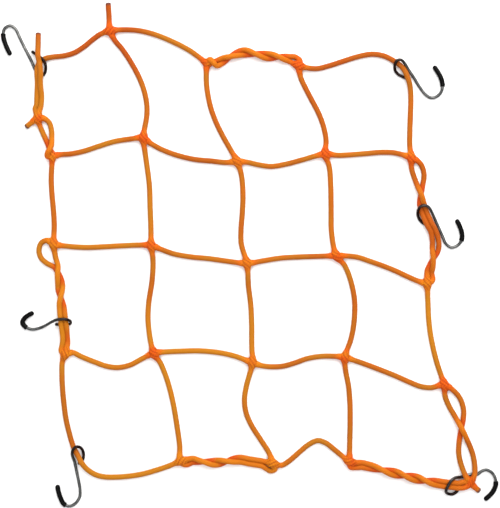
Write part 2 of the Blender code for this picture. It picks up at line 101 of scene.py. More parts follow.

# %% [markdown]
# ## Where the cords lie
# A laid-out net is never regular, so its places are given in lists. They are on a flat sheet, in
# millimetres to the right and down from its upper left corner, and the middle knot is the part's origin.
# The knots come first. Each has its place, the cord that swells, the cord that goes through it, and how
# many times thicker the swelling is than the cord.

# %% Knots
KNOTS = {
    "top_1": (110.6, 31.4, "border", "column", SWELL),
    "top_2": (207.5, 63.6, "border", "column", SMALL_SWELL),
    "top_3": (298.8, 66.4, "border", "column", SWELL),
    "row_1_left": (52.6, 156.4, "border", "row", SMALL_SWELL),
    "row_1_1": (143.7, 138.3, "column", "row", SWELL),
    "row_1_2": (237.2, 161.8, "column", "row", SWELL),
    "row_1_3": (325.0, 154.2, "column", "row", SWELL),
    "row_1_right": (410.8, 158.0, "border", "row", SWELL),
    "row_2_left": (54.3, 244.0, "border", "row", SWELL),
    "row_2_1": (151.5, 245.5, "column", "row", SWELL),
    "row_2_2": (*MIDDLE_KNOT, "column", "row", SWELL),
    "row_2_3": (336.2, 255.7, "column", "row", SWELL),
    "row_2_right": (426.8, 283.0, "border", "row", SWELL),
    "row_3_left": (65.8, 353.6, "border", "row", SWELL),
    "row_3_1": (154.0, 352.8, "column", "row", SWELL),
    "row_3_2": (252.4, 362.3, "column", "row", SWELL),
    "row_3_3": (344.6, 357.0, "column", "row", SWELL),
    "row_3_right": (443.8, 384.4, "border", "row", SWELL),
    "bottom_1": (180.8, 460.4, "border", "column", SWELL),
    "bottom_2": (272.8, 462.8, "border", "column", SWELL),
    "bottom_3": (349.5, 461.0, "border", "column", SWELL),
    "row_start": (38.3, 118.4, "border", "row", SWELL),
    "row_end": (469.7, 481.9, "border", "row", SMALL_SWELL),
}
print(len(KNOTS), "knots")

# %% [markdown]
# ### Cords wound together
# In six places along the rim two cords go together, side by side or wound round each other. Each row is
# a place on the pair's middle line: right, down, the pair's turn in degrees, the distance between the
# two middles, and the lift of both. At a turn of 0 the pair's first cord is on the left of its way, at
# 90 on top, and at 180 on the right.

# %% Wound pairs
PAIRS = {
    "corner": (
        (40.2, 62.0, 90, 6.6, 0.0),
        (39.8, 68.0, 50, APART, 2.8),
        (39.8, 74.0, 35, APART, 3.5),
        (39.6, 81.0, 45, APART, 1.2),
        (39.6, 89.0, 35, APART, 0.0),
        (39.7, 98.0, 8, APART, 0.0),
        (39.2, 106.0, 15, APART, 0.0),
    ),
    "left": (
        (56.9, 267.0, 35, APART, 0.0),
        (58.8, 274.0, 100, APART, 0.0),
        (60.4, 282.0, 150, APART, 0.0),
        (60.7, 290.0, 205, APART, 0.0),
        (61.3, 298.0, 270, APART, 0.0),
        (62.3, 307.0, 335, APART, 1.2),
        (63.8, 319.0, 352, APART, 3.5),
        (64.7, 326.0, 352, APART, 3.5),
        (65.5, 336.5, 330, APART, 0.5),
        (65.6, 344.0, 345, 6.0, 0.0),
    ),
    "bottom_left": (
        (193.0, 459.9, 25, APART, 0.0),
        (205.0, 461.2, 90, APART, 0.0),
        (216.0, 462.2, 170, APART, 0.0),
        (228.0, 460.3, 270, APART, 0.0),
        (240.0, 459.3, 350, APART, 0.0),
        (252.0, 461.6, 360, 5.9, 0.0),
    ),
    "bottom_right": (
        (362.0, 464.6, 0, APART, 0.0),
        (372.0, 466.7, 25, APART, 0.0),
        (383.0, 469.6, 90, APART, 0.0),
        (394.0, 472.6, 170, APART, 0.0),
        (405.0, 475.2, 270, APART, 0.0),
        (415.0, 477.8, 350, APART, 0.0),
        (426.0, 480.4, 450, APART, 0.0),
        (437.0, 482.6, 530, APART, 0.0),
        (446.0, 484.0, 540, APART, 0.0),
        (450.5, 484.3, 540, APART, 0.7),
        (458.6, 484.7, 540, APART, 3.5),
    ),
    "right": (
        (429.0, 272.0, 0, APART, 0.0),
        (432.4, 259.5, -90, APART, 0.0),
        (435.2, 247.5, -175, 7.2, 0.0),
        (434.8, 239.5, -180, 6.8, 0.8),
        (432.4, 231.0, -180, APART, 2.4),
        (428.8, 224.5, -180, APART, 3.5),
        (424.6, 214.5, -180, APART, 1.4),
        (422.9, 209.0, -188, APART, 0.2),
        (421.3, 203.5, -215, APART, 0.0),
        (420.6, 195.0, -270, APART, 0.0),
        (419.8, 187.0, -340, APART, 0.0),
    ),
    "top": (
        (289.0, 59.2, 0, APART, 0.0),
        (278.0, 57.4, 90, APART, 0.0),
        (267.0, 56.4, 180, 5.9, 0.0),
        (254.5, 54.4, 270, APART, 0.0),
        (243.0, 52.9, 360, 5.9, 0.0),
        (229.5, 57.6, 450, APART, 0.0),
        (221.0, 61.8, 535, APART, 0.0),
    ),
}
print(len(PAIRS), "wound pairs:", ", ".join(PAIRS))

# %% [markdown]
# ### Routes of the cords
# A route names what a cord comes by, in that order. A stop is (right, down), lying on the floor, or
# (right, down, height). A name is a knot of the first table. And (pair, cord, way) follows a pair as its
# cord 0 or 1, on its way 1 or back along it -1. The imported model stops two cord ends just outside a
# knot; here they go on into its braid, where they were pushed in.

# %% Routes
BORDER_ROUTE = (
    (38.9, 33.6, 4.2), (39.3, 45.0, 7.4), (39.5, 56.5, 10.9),
    ("corner", 0, 1), "row_start",
    (40.4, 126.5), (43.8, 134.5), (48.0, 144.0), "row_1_left",
    (52.2, 165.0), (51.6, 178.0), (52.2, 193.0), (53.7, 209.0), (54.6, 225.0), "row_2_left",
    (55.4, 255.0), ("left", 0, 1), "row_3_left",
    (62.8, 361.0), (62.2, 372.0), (62.8, 387.0), (64.0, 401.0), (66.2, 418.0), (69.4, 432.0),
    (73.8, 446.8), (78.4, 455.0, 4.2), (82.2, 461.9, OVER_WIRE), (87.0, 468.2, 3.9), (94.5, 473.7),
    (104.0, 476.4), (119.0, 476.6), (141.0, 474.0), (157.0, 469.6), (169.5, 465.4), "bottom_1",
    ("bottom_left", 0, 1), (262.5, 460.6), "bottom_2",
    (281.5, 464.9), (288.5, 461.0), (299.0, 452.0), (308.0, 444.6), (317.2, 440.3), (325.5, 442.6),
    (333.5, 448.6), (341.5, 455.2), "bottom_3",
    ("bottom_right", 0, 1), (464.4, 486.4, 5.0), "row_end",
    (473.3, 474.6, OVER_WIRE + GAP), (474.2, 465.0, 3.4), (472.0, 452.5), (466.8, 440.0, 4.2),
    (461.0, 428.5, 8.1), (455.3, 417.5, 4.2), (448.8, 406.0), (444.8, 396.0), "row_3_right",
    (440.8, 375.0), (437.4, 365.0), (433.6, 351.0), (430.2, 334.0), (428.3, 317.0),
    (427.7, 303.0), "row_2_right",
    ("right", 0, 1), (414.0, 177.5), (411.4, 169.0), "row_1_right",
    (409.6, 146.0), (409.6, 132.0), (410.1, 117.0), (410.6, 101.0), (409.9, 88.5, 3.4),
    (407.6, 79.7, OVER_WIRE), (402.4, 68.4, 3.6), (394.4, 61.7), (384.0, 56.4), (372.0, 54.5),
    (357.5, 57.0), (343.0, 61.5), (329.0, 66.0), (316.0, 68.9), "top_3",
    ("top", 0, 1), (214.5, 61.8), "top_2",
    (199.5, 57.8), (190.0, 51.0), (177.0, 44.0), (161.0, 37.0), (146.0, 32.3), (131.0, 30.2), "top_1",
    (101.5, 34.0), (94.0, 39.0), (85.0, 46.5), (75.0, 52.8), (65.0, 55.9), (54.0, 57.2), (47.0, 58.4),
    ("corner", 1, 1), (35.5, 108.8),
)
COLUMN_ROUTE = (
    (108.4, 3.3, 3.0), (109.2, 15.0), "top_1",
    (114.9, 40.5), (122.5, 49.6), (132.0, 64.0), (140.8, 81.0), (145.9, 97.5), (147.2, 113.0), "row_1_1",
    (145.2, 152.0), (147.2, 166.0), (149.6, 186.0), (150.3, 207.0), (151.1, 229.0), "row_2_1",
    (153.2, 261.0), (152.2, 281.0), (148.8, 304.0), (148.5, 324.0), "row_3_1",
    (160.6, 363.0), (167.4, 380.0), (173.3, 403.0), (177.2, 426.0), (179.8, 445.0), "bottom_1",
    (187.0, 464.3), ("bottom_left", 1, 1), (257.5, 464.9), (262.0, 465.8), (266.4, 468.3), (270.5, 470.6),
    (274.6, 469.0), "bottom_2", (269.0, 452.6), (260.4, 439.0), (251.2, 424.5), (246.0, 412.0),
    (244.5, 399.0), (246.4, 386.0),
    "row_3_2", (251.8, 347.0), (251.7, 325.0), (250.7, 304.0), (248.6, 287.0), "row_2_2",
    (241.4, 244.0), (241.0, 231.0), (242.4, 212.0), (243.0, 195.0), (241.4, 175.0), "row_1_2",
    (231.0, 150.5), (225.0, 140.0), (217.5, 125.5), (211.5, 110.0), (208.0, 95.0), (206.4, 80.0), "top_2",
    (210.2, 60.9, 6.6), (212.4, 62.3, 8.0), (214.4, 64.6, 8.0), (217.0, 66.5, 5.2),
    ("top", 1, -1), (295.6, 57.4), (299.4, 61.2, 3.2), "top_3",
    (300.4, 77.0), (304.8, 87.0), (311.8, 100.5), (318.8, 114.0), (323.8, 128.0), (326.0, 141.0),
    "row_1_3", (329.2, 167.0), (330.6, 186.0), (331.0, 207.0), (331.6, 234.0), "row_2_3",
    (344.2, 265.0), (350.4, 280.0), (354.4, 300.0), (354.0, 321.0), (350.8, 339.0), "row_3_3",
    (345.6, 371.0), (348.3, 385.0), (349.8, 403.0), (350.0, 424.0), (349.6, 443.0), "bottom_3",
    (350.8, 466.3, 3.4), (355.6, 467.3), ("bottom_right", 1, 1), (462.2, 481.2, 5.6),
)
ROW_ROUTE = (
    (26.0, 127.4), (31.0, 123.6, 3.2), "row_start",
    (44.8, 118.9, 3.4), (49.6, 123.0), (52.0, 131.0, 3.2), (52.4, 139.0, 4.6), (52.4, 145.6, 7.0),
    (50.9, 150.2, 9.7), (48.8, 153.3, 9.0), (48.9, 156.6, 5.4), "row_1_left",
    (60.0, 154.8), (71.0, 154.0), (84.6, 151.1), (97.6, 146.8), (114.0, 141.8), (130.0, 139.2), "row_1_1",
    (151.0, 143.6), (161.0, 149.2), (176.0, 155.0), (194.0, 159.4), (212.0, 161.2), (226.0, 162.6),
    "row_1_2", (248.0, 162.5), (257.5, 164.7), (271.0, 166.5), (286.5, 164.1), (302.0, 160.0), "row_1_3",
    (337.0, 155.4), (349.0, 155.0), (366.7, 153.6), (382.0, 152.4), (395.5, 153.2), "row_1_right",
    (417.6, 161.4, 3.2), (421.8, 166.6), (423.8, 175.0),
    ("right", 1, -1), (432.2, 279.4, 3.0), "row_2_right",
    (419.0, 281.4, 3.0), (407.5, 276.6), (395.0, 270.7), (382.4, 265.7), (370.0, 261.3), (356.0, 256.9),
    "row_2_3", (322.0, 256.2), (302.0, 256.8), (281.0, 258.0), (264.0, 260.6), "row_2_2",
    (232.0, 261.8), (225.0, 260.8), (208.0, 258.5), (192.0, 257.0), (174.7, 254.0), (163.0, 250.0),
    "row_2_1", (138.0, 245.1), (125.0, 245.6), (108.0, 246.5), (87.0, 247.4), (69.5, 246.4), "row_2_left",
    (47.4, 240.4, 3.2), (41.6, 243.0), (39.3, 250.4), (41.4, 257.8), (46.6, 262.8),
    ("left", 1, 1), (62.2, 350.6, 3.4), "row_3_left",
    (73.0, 352.4, 3.0), (82.0, 356.6), (95.4, 362.0), (107.0, 366.0), (118.0, 367.3), (130.0, 364.9),
    (141.0, 359.2), "row_3_1", (167.0, 351.6), (181.0, 351.0), (200.0, 350.7), (220.0, 352.6),
    (236.0, 356.3), "row_3_2", (264.0, 365.9), (281.0, 366.2), (293.5, 363.1), (306.7, 358.5),
    (322.0, 356.1), "row_3_3", (355.5, 360.6), (366.0, 364.3), (381.0, 370.0), (396.5, 376.2),
    (409.0, 381.8), (420.0, 386.1), (430.5, 387.4), "row_3_right",
    (453.0, 390.2, 3.0), (459.6, 398.0), (463.2, 409.0), (462.9, 419.0), (461.0, 428.5), (459.0, 440.0),
    (458.4, 452.5), (460.6, 464.0, 3.4), (464.9, 475.2, OVER_WIRE + GAP), "row_end",
    (475.0, 487.2), (479.4, 491.0),
)
TUCKED_START = (37.9, 116.8, 4.0)
TUCKED_END = (469.0, 481.4, 3.6)
BORDER_ROUTE += (TUCKED_START,)
COLUMN_ROUTE += (TUCKED_END,)
ROUTES = {"border": BORDER_ROUTE, "column": COLUMN_ROUTE, "row": ROW_ROUTE}
for cord, route in ROUTES.items():
    print(cord, "cord:", len(route), "entries in its route")

# %% [markdown]
# ### Routes of the wires
# Each hook's wire goes from its tip round its open bend and along its shank to its eye. The eye goes
# over the rim's cord, down beside it and back under it.

# %% Wires
HOOKS = (
    (  # upper left
        (11.2, 55.6), (8.0, 49.6), (5.2, 42.6), (3.6, 35.2), (5.0, 28.8), (10.2, 26.0), (15.4, 28.8),
        (19.6, 37.0), (24.2, 46.6), (28.6, 55.3), (32.2, 62.5), (35.2, 69.5), (39.2, 75.0),
        (43.6, 75.2, 1.8), (46.2, 70.8, 3.8), (46.2, 65.0, 6.2), (43.8, 60.4, 7.3), (39.4, 56.9, 5.2),
        (35.6, 54.2, 3.2), (32.0, 51.6, 1.9),
    ),
    (  # upper right
        (433.2, 66.2), (436.6, 71.0), (440.4, 77.8), (442.2, 85.2), (441.0, 92.0), (436.6, 96.6),
        (431.2, 98.0), (425.8, 95.2), (419.8, 87.8), (413.4, 77.3), (408.4, 70.4, 3.0),
        (404.2, 64.4, 5.8), (400.4, 61.0, 7.6), (396.5, 61.4, 8.0), (394.2, 65.2, 7.2),
        (394.8, 70.6, 3.0), (398.4, 74.8), (403.6, 77.4), (409.0, 79.7),
    ),
    (  # right, in the middle
        (455.8, 219.4), (458.8, 225.0), (461.2, 231.6), (461.6, 238.8), (458.0, 244.8), (451.2, 247.4),
        (445.8, 243.8), (442.4, 236.4), (438.8, 228.4), (434.8, 219.8, 3.0), (431.0, 212.2, 5.8),
        (427.8, 207.6, 8.4), (423.4, 205.8, 9.4), (419.2, 207.2, 8.6), (417.2, 211.4, 6.0),
        (417.8, 216.6, 2.8), (421.0, 221.6), (425.8, 224.8), (431.6, 227.0),
    ),
    (  # lower right
        (483.8, 499.6), (488.6, 495.6), (493.0, 490.4), (495.4, 484.0), (494.8, 477.6), (491.2, 472.0),
        (485.8, 469.6), (481.0, 471.2), (477.0, 474.2), (471.4, 473.9), (465.4, 475.6), (460.0, 476.8, 1.9),
        (454.6, 476.9, 5.3), (450.4, 479.0, 7.9), (447.6, 483.6, 7.3), (445.4, 488.2, 7.0),
        (445.6, 491.6, 4.2), (448.6, 493.6, 2.0), (452.6, 493.8), (456.6, 491.2), (458.8, 486.6),
        (459.2, 482.0),
    ),
    (  # lower left
        (57.6, 484.3), (58.9, 491.6), (61.2, 498.4), (64.4, 503.8), (69.8, 505.8), (75.4, 503.2),
        (79.8, 496.8), (80.3, 489.6), (78.9, 481.0), (76.8, 471.0), (74.8, 461.6, 1.6), (72.9, 454.4, 4.8),
        (73.6, 449.2, 7.2), (76.6, 446.0, 7.6), (80.2, 446.3, 5.8), (82.7, 449.4, 3.0), (83.8, 453.6),
        (83.4, 458.0), (81.2, 461.5), (78.4, 463.8),
    ),
    (  # left, in the middle
        (34.2, 312.4), (29.2, 314.8), (24.8, 318.2), (22.8, 322.4), (26.2, 327.0), (32.6, 329.2),
        (39.6, 328.0), (46.8, 324.9, 3.8), (52.6, 321.6, 7.6), (57.8, 319.4, 10.6), (63.2, 318.6, 11.4),
        (68.2, 319.0, 10.8), (71.2, 320.8, 7.6), (70.6, 323.6, 3.2), (66.0, 324.5), (60.4, 324.5),
        (55.4, 324.2),
    ),
)
print(len(HOOKS), "hooks")

# %% [markdown]
# ## Smooth paths
# A cord bends smoothly, so its path is a curve through the stops. A centripetal Catmull-Rom curve goes
# through every stop and makes no loops where stops are close, which a uniform one would.

# %% From stops to smooth paths
def smooth_path(stops, across):
    """A curve with about one point a millimetre, and each stop's place on it.

    The first columns of a stop, as many as across says, are its place; the rest go along with it."""
    stops = np.array(stops, float)
    ends = np.vstack([2 * stops[0] - stops[1], stops, 2 * stops[-1] - stops[-2]])
    change = np.diff(ends, axis=0)
    run = np.linalg.norm(change[:, :across], axis=1)
    time = np.sqrt(run)[:, None]
    straight = (ends[2:] - ends[:-2]) / (time[:-1] + time[1:])
    slope = change[:-1] / time[:-1] - straight + change[1:] / time[1:]
    points, places = [], []
    for i in range(len(stops) - 1):
        places.append(len(points))
        leave, arrive = slope[i] * time[i + 1], slope[i + 1] * time[i + 1]
        for u in np.linspace(0, 1, max(round(run[i + 1]), 2), endpoint=False):
            points.append(
                (2 * u**3 - 3 * u**2 + 1) * stops[i] + (u**3 - 2 * u**2 + u) * leave
                + (3 * u**2 - 2 * u**3) * stops[i + 1] + (u**3 - u**2) * arrive
            )
    places.append(len(points))
    points.append(stops[-1])
    return np.array(points), places


def distances(points):
    """The distance along a path at each of its points."""
    return np.concatenate([[0.0], np.cumsum(np.linalg.norm(np.diff(points, axis=0), axis=1))])


def evenly(points, step):
    """The same path with points at an even step, and their distances along it."""
    along = distances(points)
    marks = np.linspace(0, along[-1], round(along[-1] / step) + 1)
    return np.stack([np.interp(marks, along, column) for column in points.T], axis=1), marks


example, _ = smooth_path([(0, 0), (10, 0), (10, 10)], 2)
print("a cord round a corner of 10 and 10 mm would be %.1f mm long" % distances(example)[-1])

# %% [markdown]
# Where two cords are wound round each other, one pair table serves both. It gives the pair's middle line
# and how far the pair has turned. The upper cord climbs over the lower one, which stays on the floor.
# Soft cords press into each other, so their middles come a little closer than two hard rods would. That
# isn't so where a hook's wire runs between them: there the table has the cords farther apart.

# %% Wound pairs and whole routes
PAIR_STEP = 4                   # points of the middle line from one stop to the next
CROSSING_BLEND = 0.02           # how softly the upper cord comes to lie on top
PRESSED = 0.75                  # how much closer the two soft cords come than two hard ones


def pair_stops(name, cord, way):
    """The stops of one cord of a wound pair, as (right, down, height)."""
    dense, _ = smooth_path(PAIRS[name], 2)
    heading = np.gradient(dense[:, :2], axis=0)
    heading /= np.linalg.norm(heading, axis=1)[:, None]
    left = np.stack([heading[:, 1], -heading[:, 0]], axis=1)
    turn = np.radians(dense[:, 2])
    side = 1 if cord == 0 else -1
    wire_between = np.clip(dense[:, 3] - APART, 0, 1) * np.abs(np.sin(turn))
    apart = dense[:, 3] - PRESSED * (1 - wire_between)
    rise = side * np.sin(turn)
    above = (rise + np.sqrt(rise**2 + CROSSING_BLEND)) / 2
    place = dense[:, :2] + left * (side * apart / 2 * np.cos(turn))[:, None]
    height = REST + dense[:, 4] + apart * above
    return [tuple(stop) for stop in np.column_stack([place, height])[::PAIR_STEP][::way]]


def route_stops(route):
    """A route's stops with their heights, and the place of each knot among them."""
    stops, knots = [], {}
    for item in route:
        if isinstance(item, str):
            right, down, _, _, swell = KNOTS[item]
            knots[item] = len(stops)
            stops.append((right, down, REST * swell))
        elif isinstance(item[0], str):
            stops += pair_stops(*item)
        else:
            stops.append((*item, REST)[:3])
    return stops, knots


print("the left pair's first cord has", len(pair_stops("left", 0, 1)), "stops")

# %% [markdown]
# Each path is then divided evenly, with the radius of the cord at each point. A cord swells where
# another goes through it, and that other cord gathers just outside the hole.

# %% The path of each cord
RING_STEP = 0.62                # between two rings of a cord's mesh
FLUFF = 0.15                    # that the loose filaments of a braid add
SWELL_SHAPE = ((0.0, 1.0), (2.2, 1.0), (4.6, 0.56), (7.2, 0.12), (9.0, 0.0))
GATHER = 0.34                   # what a gathered cord is thicker by, as a share
GATHER_SHAPE = ((0.0, 0.0), (3.6, 1.0), (5.6, 0.9), (8.0, 0.3), (10.5, 0.0))
RADIUS_SOFT = 9                 # points on which the radius changes smoothly


def softened(values, width):
    """A row of values without sudden steps, smoothed on a width of so many points."""
    window = np.hanning(width) / np.hanning(width).sum()
    return np.convolve(np.pad(values, width // 2, mode="edge"), window, mode="valid")


def cord_path(cord, route):
    """A cord's even path with its distances, its radius at each point, and where its knots are."""
    stops, knots = route_stops(route)
    dense, places = smooth_path(stops, 3)
    dense_along = distances(dense)
    points, along = evenly(dense, RING_STEP)
    radius = np.full(len(points), CORD_RADIUS + FLUFF)
    middles = {name: dense_along[places[stop]] for name, stop in knots.items()}
    for name, middle in middles.items():
        _, _, swollen, _, thickness = KNOTS[name]
        distance = np.abs(along - middle)
        if swollen == cord:
            swell = 1 + (thickness - 1) * by_table(distance, SWELL_SHAPE)
        else:
            swell = 1 + GATHER * by_table(distance, GATHER_SHAPE)
        radius = np.maximum(radius, CORD_RADIUS * swell)
    return {"points": points, "along": along, "radius": softened(radius, RADIUS_SOFT), "knots": middles}


paths = {cord: cord_path(cord, route) for cord, route in ROUTES.items()}
for cord, path in paths.items():
    print(f"{cord} cord: {path['along'][-1]:.0f} mm long, {len(path['knots'])} knots")

# %% [markdown]
# ## The braid
# The cover of the cord is a braid: yarns wind round the rubber core both ways, over and under one
# another in turn. One small set of sums gives the height of the braid at any place on the cord. The same
# sums make the relief in the mesh and the shade of each yarn in the material, so that the two agree.

# %% The braid's sums, for a geometry tree or a material
YARNS = 8                       # that wind one way round the cord; as many wind the other way
YARN_STEP = 2.5 * MM            # from one yarn to the next, along the cord
YARN_BACK = 0.6                 # under 1, so that a yarn has a flat back and steep edges
YARN_DIP = 0.5                  # how much of its height a yarn loses towards the one it goes under


def calc(tree, operation, *values):
    """A Math node's output."""
    node = tree.nodes.new("ShaderNodeMath")
    node.operation = operation
    for socket, value in zip(node.inputs, values):
        if isinstance(value, bpy.types.NodeSocket):
            tree.links.new(value, socket)
        else:
            socket.default_value = value
    return node.outputs[0]


def either(tree, share, first, second):
    """The first value where share is 0, and the second where it is 1."""
    return calc(tree, "MULTIPLY_ADD", share, calc(tree, "SUBTRACT", second, first), first)


def braid(tree, around, along):
    """The braid's height, from 0 between yarns to 1 on one, and the place across the upper yarn."""
    ways = [calc(tree, way, around, along) for way in ("ADD", "SUBTRACT")]
    cells = calc(tree, "ADD", *[calc(tree, "FLOOR", way) for way in ways])
    upper = calc(tree, "FLOORED_MODULO", cells, 2.0)
    places = [calc(tree, "FRACT", way) for way in ways]
    crowns = [calc(tree, "SINE", calc(tree, "MULTIPLY", place, math.pi)) for place in places]
    across = calc(tree, "POWER", either(tree, upper, *crowns), YARN_BACK)
    lengthwise = calc(tree, "MULTIPLY_ADD", either(tree, upper, *crowns[::-1]), YARN_DIP, 1 - YARN_DIP)
    return calc(tree, "MULTIPLY", across, lengthwise), either(tree, upper, *places)


print(YARNS, "yarns wind each way, once round in %.0f mm" % (YARNS * YARN_STEP / MM))

# %% [markdown]
# ## Geometry Nodes for what follows a path
# A cord or a wire is a round line swept along its path, so one geometry tree makes them all. Its inputs
# are the number of sides, the height of the braid's relief and the material. The path is a chain of
# edges, and each of its points carries its own radius. The tree also writes how far round and how far
# along each point of the surface lies, because the materials follow the cord and not the room.

# %% The swept tube
CORD_SIDES = 32
MEAN_HEIGHT = 0.6               # of the braid, so that its relief goes in as well as out


def sweep_tree():
    tree = bpy.data.node_groups.new("swept_tube", "GeometryNodeTree")
    face = tree.interface
    face.new_socket("Path", in_out="INPUT", socket_type="NodeSocketGeometry")
    face.new_socket("Sides", in_out="INPUT", socket_type="NodeSocketInt").default_value = CORD_SIDES
    face.new_socket("Yarn relief", in_out="INPUT", socket_type="NodeSocketFloat")
    face.new_socket("Material", in_out="INPUT", socket_type="NodeSocketMaterial")
    face.new_socket("Tube", in_out="OUTPUT", socket_type="NodeSocketGeometry")
    given = tree.nodes.new("NodeGroupInput").outputs
    node = {}
    for kind in ("MeshToCurve", "SetCurveNormal", "CurvePrimitiveCircle", "CurveToMesh", "SplineParameter",
                 "InputNormal", "SetPosition", "SetShadeSmooth", "SetMaterial", "RealizeInstances"):
        node[kind] = tree.nodes.new("GeometryNode" + kind)
    link = tree.links.new

    def named(name):
        reader = tree.nodes.new("GeometryNodeInputNamedAttribute")
        reader.inputs["Name"].default_value = name
        return reader.outputs["Attribute"]

    def stored(geometry, name, value):
        writer = tree.nodes.new("GeometryNodeStoreNamedAttribute")
        writer.inputs["Name"].default_value = name
        link(geometry, writer.inputs["Geometry"])
        link(value, writer.inputs["Value"])
        return writer.outputs["Geometry"]

    link(given["Path"], node["MeshToCurve"].inputs["Mesh"])
    node["SetCurveNormal"].mode = "Z_UP"
    link(node["MeshToCurve"].outputs["Curve"], node["SetCurveNormal"].inputs["Curve"])
    spline = node["SplineParameter"].outputs
    line = stored(node["SetCurveNormal"].outputs["Curve"], "along", spline["Length"])
    node["CurvePrimitiveCircle"].inputs["Radius"].default_value = 1.0
    link(given["Sides"], node["CurvePrimitiveCircle"].inputs["Resolution"])
    ring = stored(node["CurvePrimitiveCircle"].outputs["Curve"], "around", spline["Factor"])
    link(line, node["CurveToMesh"].inputs["Curve"])
    link(ring, node["CurveToMesh"].inputs["Profile Curve"])
    link(named("thickness"), node["CurveToMesh"].inputs["Scale"])
    node["CurveToMesh"].inputs["Fill Caps"].default_value = True
    height, _ = braid(tree, calc(tree, "MULTIPLY", named("around"), YARNS),
                      calc(tree, "DIVIDE", named("along"), YARN_STEP))
    proud = calc(tree, "MULTIPLY", calc(tree, "SUBTRACT", height, MEAN_HEIGHT), given["Yarn relief"])
    push = tree.nodes.new("ShaderNodeVectorMath")
    push.operation = "SCALE"
    link(node["InputNormal"].outputs["Normal"], push.inputs["Vector"])
    link(proud, push.inputs["Scale"])
    link(node["CurveToMesh"].outputs["Mesh"], node["SetPosition"].inputs["Geometry"])
    link(push.outputs["Vector"], node["SetPosition"].inputs["Offset"])
    link(node["SetPosition"].outputs["Geometry"], node["SetShadeSmooth"].inputs["Geometry"])
    link(node["SetShadeSmooth"].outputs["Geometry"], node["RealizeInstances"].inputs["Geometry"])
    link(node["RealizeInstances"].outputs["Geometry"], node["SetMaterial"].inputs["Geometry"])
    link(given["Material"], node["SetMaterial"].inputs["Material"])
    link(node["SetMaterial"].outputs["Geometry"], tree.nodes.new("NodeGroupOutput").inputs["Tube"])
    return tree


SWEEP = sweep_tree()
INPUTS = {item.name: item.identifier for item in SWEEP.interface.items_tree if item.in_out == "INPUT"}
print("the tube's inputs:", ", ".join(INPUTS))

# %% [markdown]
# The tree's result is turned into a plain mesh, and the modifier goes with the guide. The UV map runs
# round the tube in yarns and along it in yarn steps. Where a ring closes, the last faces would run back
# from the last side to the first, so their end is set to a full turn.

# %% Helpers for objects and marks
def put(name, data):
    """A new object in the scene."""
    piece = bpy.data.objects.new(name, data)
    bpy.context.scene.collection.objects.link(piece)
    return piece


def store(mesh, name, values):
    """Writes an attribute of the mesh's points."""
    layer = mesh.attributes.new(name, "FLOAT", "POINT")
    layer.data.foreach_set("value", np.asarray(values, np.float32))


def column(mesh, name):
    """Reads an attribute of the mesh's points."""
    values = np.empty(len(mesh.vertices), np.float32)
    mesh.attributes[name].data.foreach_get("value", values)
    return values


print("made helpers that add an object and write or read a mark")

# %% A swept tube as a plain mesh
QUAD = 4                        # corners of a face along the tube
HALF_TURN = 0.5


def wrap(mesh):
    """The UV map: round in yarns, along in yarn steps."""
    corners = np.empty(len(mesh.loops), np.int32)
    mesh.loops.foreach_get("vertex_index", corners)
    around, along = column(mesh, "around")[corners], column(mesh, "along")[corners]
    starts = np.array([face.loop_start for face in mesh.polygons if face.loop_total == QUAD])
    quads = starts[:, None] + np.arange(QUAD)
    closing = around[quads].max(axis=1) - around[quads].min(axis=1) > HALF_TURN
    ends = quads[closing][around[quads[closing]] < HALF_TURN]
    around[ends] += 1
    places = np.stack([around * YARNS, along / YARN_STEP], axis=1)
    mesh.uv_layers.new(name="UVMap").data.foreach_set("uv", places.astype(np.float32).ravel())


def swept(name, points, radii, sides, material, relief=0.0, **marks):
    """A tube along the points (metres), with the marks as attributes of its surface."""
    guide = bpy.data.meshes.new(name + "_guide")
    guide.from_pydata(points.tolist(), [(i, i + 1) for i in range(len(points) - 1)], [])
    for mark, values in {"thickness": radii, **marks}.items():
        store(guide, mark, values)
    guide_object = put(name + "_guide", guide)
    sweep = guide_object.modifiers.new("sweep", "NODES")
    sweep.node_group = SWEEP
    sweep[INPUTS["Sides"]] = sides
    sweep[INPUTS["Yarn relief"]] = relief
    sweep[INPUTS["Material"]] = material
    depsgraph = bpy.context.evaluated_depsgraph_get()
    mesh = bpy.data.meshes.new_from_object(
        guide_object.evaluated_get(depsgraph), preserve_all_data_layers=True, depsgraph=depsgraph)
    bpy.data.objects.remove(guide_object)
    bpy.data.meshes.remove(guide)
    mesh.name = name
    wrap(mesh)
    return put(name, mesh)


print("a tube's UV map repeats every %.1f mm along it" % (YARN_STEP / MM))

# %% [markdown]
# ## Materials
# A material's tree is built from a few helpers. One makes soft-edged patches from a noise, one reads a
# mark that the cord's mesh carries, and the others mix colours and add a bump. What is the same all over
# a surface is set on the shader itself.

# %% Helpers for patterns
def blank(name):
    """A new material, its tree and its shader."""
    material = bpy.data.materials.new(name)
    material.use_nodes = True
    tree = material.node_tree
    return material, tree, tree.nodes["Principled BSDF"]


def attribute(tree, name):
    """The value of a mark that the mesh carries."""
    node = tree.nodes.new("ShaderNodeAttribute")
    node.attribute_name = name
    return node.outputs["Fac"]


def noise(tree, scale, detail=3.0, coordinates="Object", stretch=(1, 1, 1)):
    """A noise texture's value on object or UV coordinates."""
    place = tree.nodes.new("ShaderNodeTexCoord")
    mapping = tree.nodes.new("ShaderNodeMapping")
    mapping.inputs["Scale"].default_value = stretch
    texture = tree.nodes.new("ShaderNodeTexNoise")
    texture.inputs["Scale"].default_value = scale
    texture.inputs["Detail"].default_value = detail
    tree.links.new(place.outputs[coordinates], mapping.inputs["Vector"])
    tree.links.new(mapping.outputs["Vector"], texture.inputs["Vector"])
    return texture.outputs["Fac"]


def spread(tree, value, low, high, to_low=0.0, to_high=1.0):
    """The value's range from low to high, stretched to another range and kept inside it."""
    node = tree.nodes.new("ShaderNodeMapRange")
    for name, number in (("From Min", low), ("From Max", high), ("To Min", to_low), ("To Max", to_high)):
        node.inputs[name].default_value = number
    tree.links.new(value, node.inputs["Value"])
    return node.outputs["Result"]


